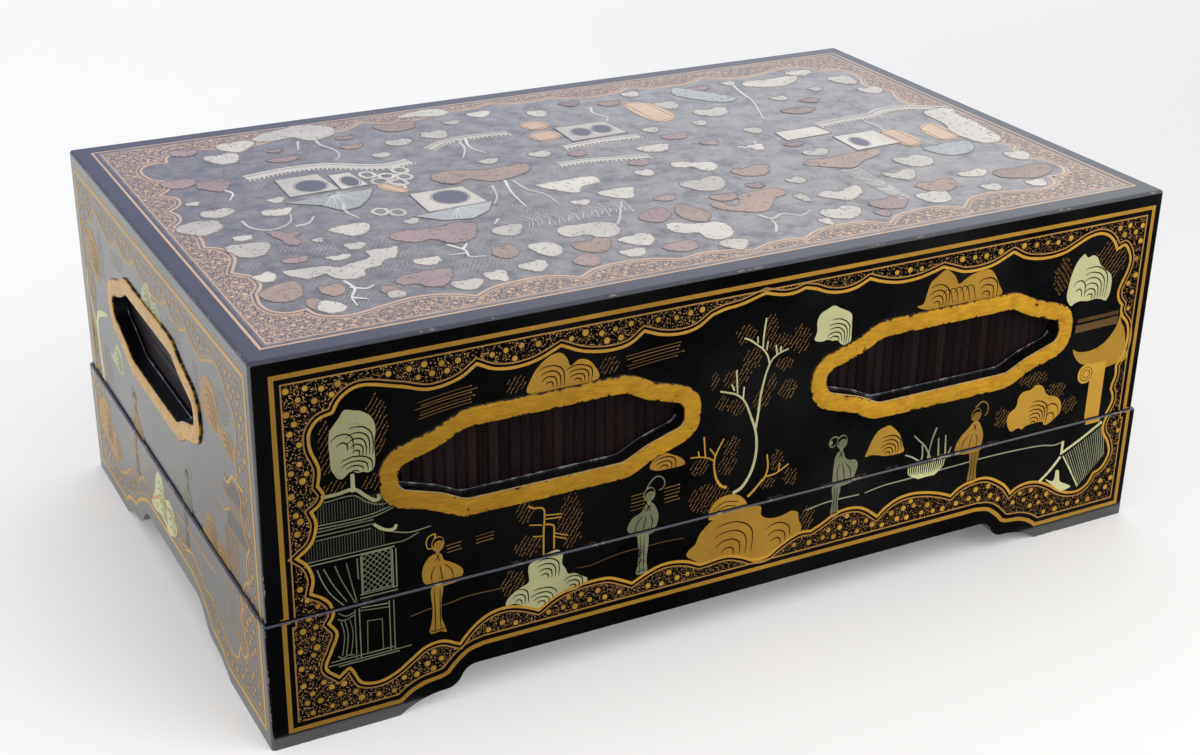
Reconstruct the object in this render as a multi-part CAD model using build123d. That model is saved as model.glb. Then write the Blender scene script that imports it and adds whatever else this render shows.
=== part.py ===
from build123d import *
import os

# Lacquered wooden box with a lift-off cover, in millimetres.
# X runs along the front, Y from front to back and Z up. The origin is in the middle of
# the box, on the surface that it stands on.

# Outer sizes
cover_length = 400.0
cover_depth = 247.0
cover_height = 102.0
base_height = 53.0
base_proud = 1.2

# Boards and panels
cover_board = 6.0
top_board = 7.0
top_lip = 4.5
floor_board = 5.0
floor_rise = 20.0
floor_groove = 3.0
liner_board = 4.0
liner_headroom = 8.0
foot_block = 14.0
foot_block_bevel = 6.0
foot_block_lift = 1.0

# Clearances
cover_clearance = 0.5
panel_clearance = 0.2

# Finger joints and worn edges
cover_finger = 31.5
base_finger = 17.5
edge_round = 1.5
seam_bevel = 0.6

# Openings in the cover and the raised frames round them
opening_length = 117.0
opening_height = 29.0
opening_flat = 65.0
opening_flat_round = 10.0
opening_waist_run = 9.5
opening_waist_drop = 4.9
opening_waist_round = 18.0
opening_nose = 8.8
opening_nose_round = 4.3
opening_spacing = 182.0
opening_shift = 1.1
long_opening_rise = 47.2
end_opening_rise = 50.8
end_opening_setback = 7.2
frame_width = 7.5
frame_relief = 0.8
frame_bevel = 0.3

# Bracket feet, each with a lobe and then a reverse curve up to the apron
foot_length = 50.0
foot_lobe_run = 19.0
foot_lobe_rise = 6.2
long_curve_run = 13.0
long_curve_rise = 8.3
end_curve_run = 22.0
end_curve_rise = 11.6

# Reeded facings behind the openings: split reeds with bevelled edges on a thin backing
reed_pitch = 4.4
reed_bevel = 0.7
reed_backing = 0.9

# Places that follow from the sizes above
half_length = cover_length / 2
half_depth = cover_depth / 2
base_half_length = half_length + base_proud
base_half_depth = half_depth + base_proud
cover_top = base_height + cover_height
wall_top = cover_top - top_lip
ceiling = cover_top - top_board
reed_depth = reed_backing + reed_bevel
face_to_liner = cover_board + cover_clearance + reed_depth
base_board = base_proud + face_to_liner
liner_half_length = half_length - face_to_liner
liner_half_depth = half_depth - face_to_liner
floor_top = floor_rise + floor_board
liner_top = ceiling - liner_headroom

# A piece of any side is made as the front one and turned about Z to its own side
side_turn = {"front": 0, "right": 90, "back": 180, "left": 270}
long_sides = ("front", "back")

# Each opening's place along its side, seen from outside, under its frame's name
openings = {
    "front": {
        "frame_front_left": opening_shift - opening_spacing / 2,
        "frame_front_right": opening_shift + opening_spacing / 2,
    },
    "back": {
        "frame_back_right": opening_shift - opening_spacing / 2,
        "frame_back_left": opening_shift + opening_spacing / 2,
    },
    "left": {"frame_left": -end_opening_setback},
    "right": {"frame_right": end_opening_setback},
}

# How far a cutter runs past what it cuts
overcut = 1.0


def block(low, high):
    """Box between two opposite corners."""
    size = [end - start for start, end in zip(low, high)]
    return Pos(*low) * Box(*size, align=(Align.MIN, Align.MIN, Align.MIN))


def plan_block(half_x, half_y, low, high):
    """Box centred in plan, between two heights."""
    return block((-half_x, -half_y, low), (half_x, half_y, high))


def worn_form(half_x, half_y, low, high):
    """Outer form of the cover or the base: upright corners rounded, edge at the seam eased."""
    form = plan_block(half_x, half_y, low, high)
    form = fillet(form.edges().filter_by(Axis.Z), edge_round)
    seam_rim = form.edges().filter_by_position(Axis.Z, base_height, base_height)
    return chamfer(seam_rim, seam_bevel)


def run_and_reach(side, half_x, half_y):
    """Half of a side's length, and its distance from the middle of the box."""
    return (half_x, half_y) if side in long_sides else (half_y, half_x)


def face_plane(reach, x, z):
    """Plane on the outer face of a front board, looking outwards."""
    return Plane(origin=(x, -reach, z), x_dir=(1, 0, 0), z_dir=(0, -1, 0))


def fingered_board(side, half_run, reach, board, low, high, finger):
    """Front board with three-finger ends: a long side has the outer fingers."""
    solid = block((-half_run, -reach, low), (half_run, board - reach, high))
    middle = [(low + finger, high - finger)]
    outer = [(low, low + finger), (high - finger, high)]
    for start, end in middle if side in long_sides else outer:
        for centre in (board / 2 - half_run, half_run - board / 2):
            gap = Box(board, board, end - start)
            solid -= Pos(centre, board / 2 - reach, (start + end) / 2) * gap
    return solid


def opening_face():
    """Cartouche: a flat middle, drawn-in shoulders and a small round nose at each end."""
    top = opening_height / 2
    corners = [
        (opening_flat / 2, top, opening_flat_round),
        (opening_flat / 2 + opening_waist_run, top - opening_waist_drop, opening_waist_round),
        (opening_length / 2, opening_nose / 2, opening_nose_round),
    ]
    right = corners + [(x, -y, radius) for x, y, radius in reversed(corners)]
    outline = right + [(-x, -y, radius) for x, y, radius in right]
    points = [(x, y) for x, y, radius in outline]
    radii = [radius for x, y, radius in outline]
    return make_face(FilletPolyline(*points, radius=radii, close=True))


def opening_frame(plane):
    """Raised frame round an opening, bevelled along both edges."""
    inner = opening_face()
    outer = offset(inner, frame_width)
    frame = extrude(plane * (outer - inner), frame_relief)
    return chamfer(frame.faces().sort_by(Axis.Y)[0].edges(), frame_bevel)


def apron_face(side, half_run):
    """Gap between the two bracket feet of a side, reaching below the feet."""
    long_curve = (-long_curve_run, long_curve_rise)
    end_curve = (-end_curve_run, end_curve_rise)
    foot = Vector(half_run - foot_length, 0)
    lobe = foot + (-foot_lobe_run, foot_lobe_rise)
    apron = lobe + (long_curve if side in long_sides else end_curve)
    middle = (lobe + apron) / 2
    flat = Line((0, apron.Y), apron)
    drop = TangentArc(apron, middle, tangent=(1, 0))
    sweep = TangentArc(middle, lobe, tangent=drop % 1)
    round_down = TangentArc(lobe, foot, tangent=(1, 0))
    below = Polyline(foot, (foot.X, -overcut), (0, -overcut))
    half = Curve() + [flat, drop, sweep, round_down, below]
    return make_face(half + mirror(half, about=Plane.YZ))


def base_wall(side):
    """Base board with bracket feet and fingered ends."""
    half_run, reach = run_and_reach(side, base_half_length, base_half_depth)
    wall = fingered_board(side, half_run, reach, base_board, 0, base_height, base_finger)
    gap = face_plane(reach, 0, 0) * apron_face(side, half_run)
    return wall - extrude(gap, base_board + overcut, both=True)


def cover_wall(side):
    """Cover board pierced by its openings, with fingered ends."""
    half_run, reach = run_and_reach(side, half_length, half_depth)
    wall = fingered_board(side, half_run, reach, cover_board, base_height, wall_top, cover_finger)
    for plane in opening_planes(side).values():
        wall -= extrude(plane * opening_face(), cover_board + overcut, both=True)
    return wall


def opening_planes(side):
    """Plane of each opening of a side, under its frame's name."""
    reach = run_and_reach(side, half_length, half_depth)[1]
    rise = long_opening_rise if side in long_sides else end_opening_rise
    return {name: face_plane(reach, x, base_height + rise) for name, x in openings[side].items()}


def liner(side):
    """Upstand board on the floor, the end ones between the long ones."""
    half_run, reach = run_and_reach(side, liner_half_length, liner_half_depth)
    if side not in long_sides:
        half_run -= liner_board
    return block((-half_run, -reach, floor_top), (half_run, liner_board - reach, liner_top))


def reeded_section(width):
    """Section of a facing: bevelled reeds side by side on their backing."""
    count = round(width / reed_pitch)
    pitch = width / count
    outline = [(width / 2, 0), (-width / 2, 0)]
    for index in range(count):
        start = index * pitch - width / 2
        outline += [
            (start, -reed_backing),
            (start + reed_bevel, -reed_depth),
            (start + pitch - reed_bevel, -reed_depth),
        ]
    outline.append((width / 2, -reed_backing))
    return make_face(Polyline(*outline, close=True))


def reeding(side):
    """Facing glued on the liner above the seam: upright on long sides, lengthwise on ends."""
    half_run, reach = run_and_reach(side, liner_half_length, liner_half_depth)
    height = liner_top - base_height
    if side in long_sides:
        section = reeded_section(2 * (half_run + reed_depth))
        return Pos(0, -reach, base_height) * extrude(section, height)
    across = Plane(origin=(half_run, -reach, base_height + height / 2), x_dir=(0, 0, 1), z_dir=(-1, 0, 0))
    return extrude(across * reeded_section(height), 2 * half_run)


cover_form = worn_form(half_length, half_depth, base_height, cover_top)
top_rim = cover_form.edges().filter_by_position(Axis.Z, cover_top, cover_top)
cover_form = fillet(top_rim, edge_round)
base_form = worn_form(base_half_length, base_half_depth, 0, base_height)
floor_slot = plan_block(
    liner_half_length + floor_groove, liner_half_depth + floor_groove, floor_rise, floor_top
)

parts = {}
for side, turn in side_turn.items():
    place = Rot(0, 0, turn)
    parts[f"base_{side}"] = (place * base_wall(side) & base_form) - floor_slot
    parts[f"cover_{side}"] = place * cover_wall(side) & cover_form
    parts[f"liner_{side}"] = place * liner(side)
    parts[f"reeding_{side}"] = place * reeding(side)
    for name, plane in opening_planes(side).items():
        parts[name] = place * opening_frame(plane)

# Floor panel, loose in its groove all round
floor_inset = floor_groove - panel_clearance
parts["base_floor"] = plan_block(
    liner_half_length + floor_inset, liner_half_depth + floor_inset, floor_rise, floor_top
)

# Top board: a lip on top of the walls, and a rebated field let in between them
field_inset = cover_board + panel_clearance
lip = plan_block(half_length, half_depth, wall_top, cover_top) & cover_form
field = plan_block(half_length - field_inset, half_depth - field_inset, ceiling, wall_top)
parts["cover_top"] = lip + field

# Glue blocks behind the feet, bevelled on the edge that faces the middle of the box
for x_side, x_name in ((-1, "left"), (1, "right")):
    for y_side, y_name in ((-1, "front"), (1, "back")):
        stick = plan_block(foot_block / 2, foot_block / 2, foot_block_lift, floor_rise)
        upright = stick.edges().filter_by(Axis.Z)
        stick = chamfer(upright.sort_by(Axis((0, 0, 0), (-x_side, -y_side, 0)))[-1], foot_block_bevel)
        corner = Pos(
            x_side * (liner_half_length - foot_block / 2),
            y_side * (liner_half_depth - foot_block / 2),
        )
        parts[f"foot_block_{y_name}_{x_name}"] = corner * stick

os.makedirs("parts", exist_ok=True)
for name, part in parts.items():
    export_step(part, f"parts/{name}.step")
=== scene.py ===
import math
import random
from collections import namedtuple

import bpy
from bpy.props import FloatProperty, FloatVectorProperty, PointerProperty
from mathutils import Matrix, Vector
from mathutils.geometry import tessellate_polygon


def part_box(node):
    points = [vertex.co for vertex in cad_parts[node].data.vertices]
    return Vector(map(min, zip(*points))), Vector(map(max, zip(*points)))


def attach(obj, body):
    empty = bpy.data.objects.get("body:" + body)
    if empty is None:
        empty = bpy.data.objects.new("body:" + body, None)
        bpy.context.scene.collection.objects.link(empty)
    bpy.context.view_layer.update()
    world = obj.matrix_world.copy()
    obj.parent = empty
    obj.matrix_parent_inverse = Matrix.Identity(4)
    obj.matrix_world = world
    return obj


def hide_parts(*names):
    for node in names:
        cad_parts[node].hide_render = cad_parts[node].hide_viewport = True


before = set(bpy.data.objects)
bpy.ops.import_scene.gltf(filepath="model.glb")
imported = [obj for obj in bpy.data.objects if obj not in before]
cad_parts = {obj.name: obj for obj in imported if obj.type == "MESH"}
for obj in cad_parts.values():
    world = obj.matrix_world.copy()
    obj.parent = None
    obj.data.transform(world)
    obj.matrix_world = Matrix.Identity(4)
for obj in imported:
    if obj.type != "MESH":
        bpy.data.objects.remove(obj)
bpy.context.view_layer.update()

bl_info = {
    "name": "Lacquered Box",
    "version": (1, 0, 0),
    "blender": (4, 5, 0),
    "location": "View3D > Sidebar > Lacquered Box",
    "description": "Gilt frames, painted borders and scenes, finishes and stage of a lacquered box",
    "category": "Object",
}

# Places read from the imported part, in metres
cover_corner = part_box("cover_top")[1]
base_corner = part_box("base_front")[1]
half_length = cover_corner.x
half_depth = cover_corner.y
cover_top = cover_corner.z
seam = base_corner.z
base_half_length = base_corner.x
base_half_depth = -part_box("base_front")[0].y

# Paintings are laid out in millimetres on drawing sheets, on which the box is 420 mm long.
# X runs to the right, seen from outside, and Z up, or back on the top.
sheet_length = 420.0
sheet_scale = 2 * half_length / sheet_length
sheet_depth = 2 * half_depth / sheet_scale
sheet_seam = seam / sheet_scale

X, Y, Z = Vector((1, 0, 0)), Vector((0, 1, 0)), Vector((0, 0, 1))
Face = namedtuple("Face", "corner right up out reach base_reach")
faces = {
    "front": Face(-half_length * X, X, Z, -Y, half_depth, base_half_depth),
    "back": Face(half_length * X, -X, Z, Y, half_depth, base_half_depth),
    "left": Face(half_depth * Y, -Y, Z, -X, half_length, base_half_length),
    "right": Face(-half_depth * Y, Y, Z, X, half_length, base_half_length),
    "top": Face(-half_length * X - half_depth * Y, X, Y, Z, cover_top, cover_top),
}
side_names = ("front", "back", "left", "right")
frame_nodes = [f"frame_{depth}_{side}" for depth in ("front", "back") for side in ("left", "right")]
frame_nodes += ["frame_left", "frame_right"]

# Outer gilt lines, on the sheets
line_over_feet = 7
line_top = 155.4
base_line_inset = 6.6
cover_line_inset = 8
top_line_inset = (8.2, 10)
fine_line_inset = 3.3
lace_inset = 2.0
dot_row_share = 0.62

# Foliage ticks, on the sheets
tick_pitch = 1.35
tick_row_pitch = 1.55

# Small sizes of the painted and gilt work, in metres
seam_gap = 0.0004
mark_and_rim_film = 0.00003
frame_edge_bevel = 0.00022
bead_depth = 0.0056
bead_radius = 0.00038
lip_radius = 0.00024
lip_drop = 0.00015
worn_edge_width = 0.0012
plain_margin_at_ends = 0.0085
plain_margin_at_sides = 0.0095

# Unevenness of the hand-cut frames, in millimetres
outer_wave = 0.22
inner_wave = 0.12
nick_depth = 0.45
nick_chance = 0.02

# First seed of the random draws of each kind of piece
border_seed = 10
top_border_seed = 20
painting_seed = 30
frame_seed = 40
top_seed = 50

# Lamps: place, width, height, power and tint
lamps = {
    "key": ((0.38, -0.68, 0.62), 0.9, 0.9, 3.6, (1.0, 0.97, 0.93)),
    "rear": ((0.7, 2.2, 1.65), 3.0, 1.6, 12, (0.94, 0.97, 1.0)),
}
lamp_aim = Vector((0, 0, 0.08))
floor_size = 12
# Black sheet that paints a dark reflection into the front's gloss: place and size
dark_reflection_place = (0.45, -0.93, 0.001)
dark_reflection_size = 1.6

# Camera fitted to the corners of the box in the photograph
camera_place = Vector((-0.3614, -0.6751, 0.4174))
camera_forward = Vector((0.4250, 0.7985, -0.4263))
camera_right = Vector((0.8858, -0.4639, 0.0143))
camera_lens = 56.4

# How high each paint lies over the lacquer, in millimetres, so that none share a surface
main_paint_lift = 0.02
tone_lift = 0.008
paint_lift = {
    "speckled": -0.03,
    "dense_speckled": -0.03,
    "foliage": -0.02,
    "mist": -0.02,
    "haze": -0.02,
    "dim_gold": -0.02,
    "grey_line": -0.01,
    "dark_ring": -0.01,
    "fine_gold": 0.0,
    "rose_line": 0.0,
    "pale_line": 0.0,
    "apricot": 0.03,
    "ink": 0.05,
    "window": 0.05,
    "mark_and_rim_shade": 0.06,
}


def length(name, description, default):
    """Length property, in metres."""
    return FloatProperty(name=name, description=description, default=default, unit="LENGTH")


class BoxSizes(bpy.types.PropertyGroup):
    """Sizes of the gilt frames, the painted lines and the paint"""

    opening_length: length("Opening length", "Length of each opening", 0.117)
    opening_height: length("Opening height", "Height of each opening", 0.029)
    frame_width: length("Frame width", "Width of the gilt frames", 0.0075)
    frame_relief: length("Frame relief", "How far the frames stand out", 0.0008)
    paint_film: length("Paint film", "Thickness of the paint", 0.00006)
    inlay_film: length("Raised work", "Thickness of the raised work on the top", 0.00018)
    outer_line: length("Outer line", "Width of the outer gilt line", 0.0018)
    scallop_line: length("Scalloped line", "Width of the scalloped gilt line", 0.0012)
    fine_line: length("Fine line", "Width of the fine lines beside both", 0.0006)
    reed_pitch: length("Reed pitch", "Distance between the reeds", 0.0044)


def colour(name, description, default):
    """Colour property, in linear values."""
    return FloatVectorProperty(
        name=name, description=description, default=default, subtype="COLOR", size=3, min=0, max=1
    )


class BoxColours(bpy.types.PropertyGroup):
    """Colours of the lacquer and the paints"""

    lacquer: colour("Lacquer", "Black ground", (0.0018, 0.0016, 0.0016))
    bloom: colour("Bloom", "Lighter clouds in the black ground", (0.0105, 0.0098, 0.0098))
    milky: colour("Milky varnish", "Aged varnish over the top's ground", (0.235, 0.222, 0.212))
    worn_edge: colour("Worn edge", "Ground that shows at rubbed edges", (0.20, 0.15, 0.11))
    gold: colour("Gold", "Main gold paint", (0.55, 0.295, 0.028))
    gilt: colour("Gilt", "Gilding of the frames", (0.58, 0.30, 0.012))
    fine_gold: colour("Fine gold", "Orange gold of the fine lines", (0.42, 0.22, 0.045))
    dim_gold: colour("Dim gold", "Thin gold of bars and mist", (0.115, 0.065, 0.02))
    foliage: colour("Foliage", "Orange brown of the foliage", (0.26, 0.125, 0.035))
    pale: colour("Pale", "Pale silver green", (0.62, 0.61, 0.31))
    pale_line: colour("Pale line", "Thin silver green lines", (0.33, 0.34, 0.21))
    grey_line: colour("Grey line", "Faint grey lines", (0.12, 0.12, 0.085))
    cream: colour("Cream", "Light stones of the top", (0.67, 0.62, 0.54))
    russet: colour("Russet", "Red-brown stones of the top", (0.38, 0.255, 0.23))
    umber: colour("Umber", "Brown stones of the top", (0.40, 0.275, 0.20))
    slate: colour("Slate", "Grey-green roofs of the top", (0.46, 0.48, 0.46))
    apricot: colour("Apricot", "Orange walls of the top", (0.74, 0.50, 0.32))
    silver: colour("Silver", "Pale branches of the top", (0.70, 0.71, 0.64))
    rose_gold: colour("Rose gold", "Gold of the top, under its varnish", (0.66, 0.43, 0.27))
    reed: colour("Reed", "Reeds behind the openings", (0.015, 0.0075, 0.0072))
    blue_reed: colour("Blue reed", "The few bluish reeds", (0.013, 0.0095, 0.0105))
    inner_wood: colour("Inner wood", "Inside of the box", (0.030, 0.022, 0.018))
    raw_wood: colour("Raw wood", "Bare wood of the glue blocks", (0.22, 0.13, 0.07))
    floor: colour("Floor", "Studio floor", (0.82, 0.815, 0.81))


def sizes():
    return bpy.context.scene.lacquered_box_sizes


def colours():
    return bpy.context.scene.lacquered_box_colours


# Lines


def soft_line(points, closed=False, step=1.3):
    """Points about a step apart on a smooth curve through the given ones."""
    count = len(points)
    line = []
    for index in range(count if closed else count - 1):
        if closed:
            before, start, end, after = (Vector(points[(index + k) % count]) for k in (-1, 0, 1, 2))
        else:
            start, end = Vector(points[index]), Vector(points[index + 1])
            before = Vector(points[index - 1]) if index > 0 else 2 * start - end
            after = Vector(points[index + 2]) if index + 2 < count else 2 * end - start
        length = (end - start).length
        if length < 0.001:
            continue
        runs = [max((b - a).length, 0.01) ** 0.5 for a, b in ((before, start), (start, end), (end, after))]
        leave = (start - before) / runs[0] - (end - before) / (runs[0] + runs[1]) + (end - start) / runs[1]
        arrive = (end - start) / runs[1] - (after - start) / (runs[1] + runs[2]) + (after - end) / runs[2]
        leave, arrive = leave * runs[1], arrive * runs[1]
        parts = max(1, round(length / step))
        for part in range(parts):
            t = part / parts
            line.append(
                start * (2 * t**3 - 3 * t**2 + 1)
                + leave * (t**3 - 2 * t**2 + t)
                + end * (3 * t**2 - 2 * t**3)
                + arrive * (t**3 - t**2)
            )
    if not closed:
        line.append(Vector(points[-1]))
    return line


def cusped_line(runs, step=1.3):
    """One closed line from runs that are smooth in themselves and meet in cusps."""
    line = []
    for run in runs:
        line += soft_line(run, step=step)[:-1]
    return line


def even_line(points, step, closed=True):
    """The same line with points an even step apart."""
    line = []
    ends = points[1:] + points[:1] if closed else points[1:]
    for start, end in zip(points, ends):
        start, end = Vector(start), Vector(end)
        parts = max(1, round((end - start).length / step))
        line += [start.lerp(end, part / parts) for part in range(parts)]
    return line if closed else line + [Vector(points[-1])]


def normals(points, closed):
    """Left-hand normal at each point, lengthened at corners so that offsets keep their width."""
    count = len(points)
    result = []
    for index, point in enumerate(points):
        here = Vector(point)
        ways = []
        if closed or index > 0:
            ways.append(here - Vector(points[index - 1]))
        if closed or index < count - 1:
            ways.append(Vector(points[(index + 1) % count]) - here)
        sides = [Vector((-way.y, way.x)).normalized() for way in ways if way.length > 1e-6]
        total = sum(sides, Vector((0, 0)))
        if total.length < 0.2:
            result.append(sides[0] if sides else Vector((0, 1)))
            continue
        middle = total.normalized()
        result.append(middle / max(middle.dot(sides[0]), 0.55))
    return result


def shifted(points, distance, closed=True):
    """The line moved sideways, to its left where the distance is positive."""
    return [Vector(p) + n * distance for p, n in zip(points, normals(points, closed))]


def area(points):
    return sum(a[0] * b[1] - b[0] * a[1] for a, b in zip(points, points[1:] + points[:1])) / 2


def mirrored(points, length):
    """Runs or points mirrored from left to right, in the order that keeps the line's direction."""
    return [(length - x, z) for x, z in reversed(points)]


def inside(point, outline):
    """Whether a point lies inside a closed outline."""
    x, z = point
    crossings = 0
    for (ax, az), (bx, bz) in zip(outline, outline[1:] + outline[:1]):
        if (az > z) != (bz > z) and x < (bx - ax) * (z - az) / (bz - az) + ax:
            crossings += 1
    return crossings % 2 == 1


def distance_to(point, outline):
    """Distance from a point to the nearest point of an evenly divided outline."""
    return min((p[0] - point[0]) ** 2 + (p[1] - point[1]) ** 2 for p in outline) ** 0.5


class Sheet:
    """Shapes painted on one face, in millimetres on its drawing sheet."""

    def __init__(self, seed):
        self.hand = random.Random(seed)
        self.shapes = []
        self.put(0)

    def put(self, start, way=1):
        """Draws from here on with X counted from a start, to the right or to the left."""
        self.start, self.way = start, way

    def add(self, paint, points, polygons):
        points = [Vector((self.start + self.way * x, z)) for x, z in points]
        if self.way < 0:
            polygons = [tuple(reversed(polygon)) for polygon in polygons]
        self.shapes.append((paint, points, polygons, self.hand.random()))

    def fill(self, paint, outline):
        """Flat patch of paint with this outline."""
        outline = [Vector(p) for p in outline]
        if area(outline) < 0:
            outline.reverse()
        self.add(paint, outline, [tuple(range(len(outline)))])

    def soft(self, paint, outline, step=1.2):
        """Flat patch of paint with a smooth outline."""
        self.fill(paint, soft_line(outline, closed=True, step=step))

    def band(self, paint, outer, inner):
        """Flat band between two closed outlines."""
        points = [Vector(p) for p in outer] + [Vector(p) for p in inner]
        loops = [[Vector((*p, 0)) for p in outer], [Vector((*p, 0)) for p in inner]]
        triangles = []
        for a, b, c in tessellate_polygon(loops):
            turn = (points[b] - points[a]).cross(points[c] - points[a])
            triangles.append((a, b, c) if turn > 0 else (a, c, b))
        self.add(paint, points, triangles)

    def stroke(self, paint, points, width, end=None, closed=False, swell=False):
        """Brush stroke along points, from one width to another, or swelling in the middle."""
        count = len(points)
        end = width if end is None else end
        left, right = [], []
        for index, (point, normal) in enumerate(zip(points, normals(points, closed))):
            t = index / max(count - 1, 1)
            half = (width + (end - width) * t) / 2
            if swell:
                half *= 0.25 + 0.75 * math.sin(math.pi * min(max(t, 0.02), 0.98)) ** 0.6
            half *= 1 + self.hand.uniform(-0.07, 0.07)
            left.append(Vector(point) + normal * half)
            right.append(Vector(point) - normal * half)
        quads = []
        for index in range(count if closed else count - 1):
            after = (index + 1) % count
            quads.append((index, index + count, after + count, after))
        self.add(paint, left + right, quads)

    def line(self, paint, points, width, end=None, swell=False, step=1.2):
        """Smooth brush stroke through a few points."""
        self.stroke(paint, soft_line(points, step=step), width, end, swell=swell)

    def disc(self, paint, x, z, radius, sides=8):
        turn = self.hand.uniform(0, 1)
        ways = [turn + k * math.tau / sides for k in range(sides)]
        self.fill(paint, [(x + radius * math.cos(way), z + radius * math.sin(way)) for way in ways])

    def shake(self, size):
        return self.hand.uniform(-size, size)


# Borders


def apron_line(length, curve_run, apron, right_inset):
    """Lower edge of the outer gilt line from left to right, over the feet and the apron."""
    left = (
        even_line([(base_line_inset, line_over_feet), (52, line_over_feet)], 3, closed=False)[:-1]
        + soft_line([(52, line_over_feet), (56, 10), (62, 12.4), (70, 13.5), (72.5, 14.6)])[:-1]
        + soft_line([(72.5, 14.6), (74.5, 17), (52 + curve_run - 7, apron - 1.6), (52 + curve_run, apron)])
    )
    return left + mirrored(left, length)[:-1] + [(length - right_inset, line_over_feet)]


def outer_outline(length, curve_run, apron, right_inset):
    """Closed outer gilt line of a side, with its small step at the seam."""
    cover_foot = sheet_seam + 0.1
    base_right = length - right_inset
    cover_right = base_right - (cover_line_inset - base_line_inset)
    right = [(base_right, sheet_seam), (cover_right, cover_foot), (cover_right, line_top)]
    left = [(cover_line_inset, line_top), (cover_line_inset, cover_foot), (base_line_inset, sheet_seam)]
    return [Vector(p) for p in apron_line(length, curve_run, apron, right_inset) + right + left]


def chained(*runs):
    """Runs of a scalloped line, each started at the last point of the run before it."""
    chain = [runs[0]]
    for run in runs[1:]:
        chain.append(chain[-1][-1:] + run)
    return chain


# Scalloped lines, as runs of points that meet in cusps
left_band = chained(
    [(30, 137.5), (24.5, 136), (21, 131.5), (20.8, 125), (23.8, 116), (23, 109)],
    [(25, 105), (23.4, 101.5), (20, 99)],
    [(21.6, 94), (19.4, 86), (13.4, 81)],
    [(17.2, 77), (19.2, 70.5), (18, 64.5)],
    [(22.5, 61.5), (25.6, 57.6), (25.8, 53.5), (24, 50.5)],
    [(27, 45.5), (24.4, 38), (22, 31), (27, 25.5)],
    [(31.4, 28.4), (33, 26)],
)
long_bottom = chained(
    [(33, 26), (36, 20.5), (43, 18.6), (50, 20.5), (57, 25), (63, 28.8), (70, 29.5), (77.5, 26)],
    [(80, 29), (85, 33.5), (91, 36.5), (98, 37.2), (105, 35.4), (112, 32)],
    [(119, 36), (128, 38.5), (137, 39), (144, 38.3), (150, 35.5), (154.5, 33)],
    [(160, 35.5), (167, 37.8), (173, 38), (180, 36.5), (187, 33.2)],
    [(200, 33.8), (207, 31.6), (212, 29)],
    [(220, 28.5), (226, 32), (236, 36), (242, 35.5)],
    [(247, 37.5), (253, 40.5), (259, 41.8), (266, 41), (271, 38.5), (276.5, 34)],
    [(281, 37.5), (287, 40.2), (294, 40.9), (303, 39.5), (311, 37), (316.5, 34.5)],
    [(321, 37.5), (328, 39.3), (336, 39), (343, 35.5), (348, 31.5), (351, 27.5)],
    [(354, 29.5), (360, 30.6), (367, 29.5), (374, 26), (380, 22), (386, 19.5), (392, 19), (397, 21.5),
     (400, 26.5)],
)
right_band = chained(
    [(400, 26.5), (404, 28), (407, 32), (408, 36), (406, 42), (403, 46.5), (402, 50)],
    [(402.5, 53), (404.5, 57)],
    [(406.4, 61), (406.5, 65), (404.8, 68.4)],
    [(405.2, 71), (406.5, 75), (406, 80)],
    [(409, 85), (410.6, 92), (409.4, 100), (405.4, 105)],
    [(404.2, 108), (404.5, 110.5)],
    [(402, 113.5), (401, 117), (402, 121), (404.5, 126.5), (405.5, 132), (404, 136.5), (401, 140),
     (396.8, 138.5)],
)
long_top = chained(
    [(396.8, 138.5), (395, 142), (391, 146), (386, 147.8), (380, 147.3), (374, 145), (368, 142.5),
     (361, 141.4), (353, 141.7), (345, 143.5), (338, 147.3)],
    [(328, 143.3), (320, 142.3), (312, 142.8), (306, 145), (301, 146.8)],
    [(295, 145.3), (288, 144), (278, 144), (270, 145.8), (263.5, 148.2)],
    [(257, 145.5), (250, 144.8), (243, 146), (237, 148.5), (232, 149.8)],
    [(227, 148.6), (221, 148.8), (213, 151)],
    [(202, 148.2), (194, 147.4), (188.5, 146)],
    [(182, 142), (175, 140.8), (166, 142), (158, 145)],
    [(152, 141), (144, 139.8), (132, 141.6), (122, 146)],
    [(112, 142), (103, 140.8), (94, 142), (87, 145.4)],
    [(80, 141), (68, 139), (56, 142.6), (40, 146), (33, 142.4), (30, 137.5)],
)
end_bottom = chained(
    [(33, 26), (36.5, 20.4), (45, 18.6), (55, 22.4), (68, 30), (79, 29)],
    [(84, 33.6), (94, 37), (105, 33.5)],
    [(114, 38.6), (sheet_depth / 2, 40.6), (sheet_depth - 114, 38.6), (sheet_depth - 105, 33.5)],
)
end_top = chained(
    [(sheet_depth - 105, 146), (sheet_depth - 114, 142), (sheet_depth / 2, 140.6), (114, 142), (105, 146)],
    [(98, 142), (88, 141), (78, 145)],
    [(70, 140.6), (62, 139.4), (52, 142.6), (40, 146), (33, 142.4), (30, 137.5)],
)
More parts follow.
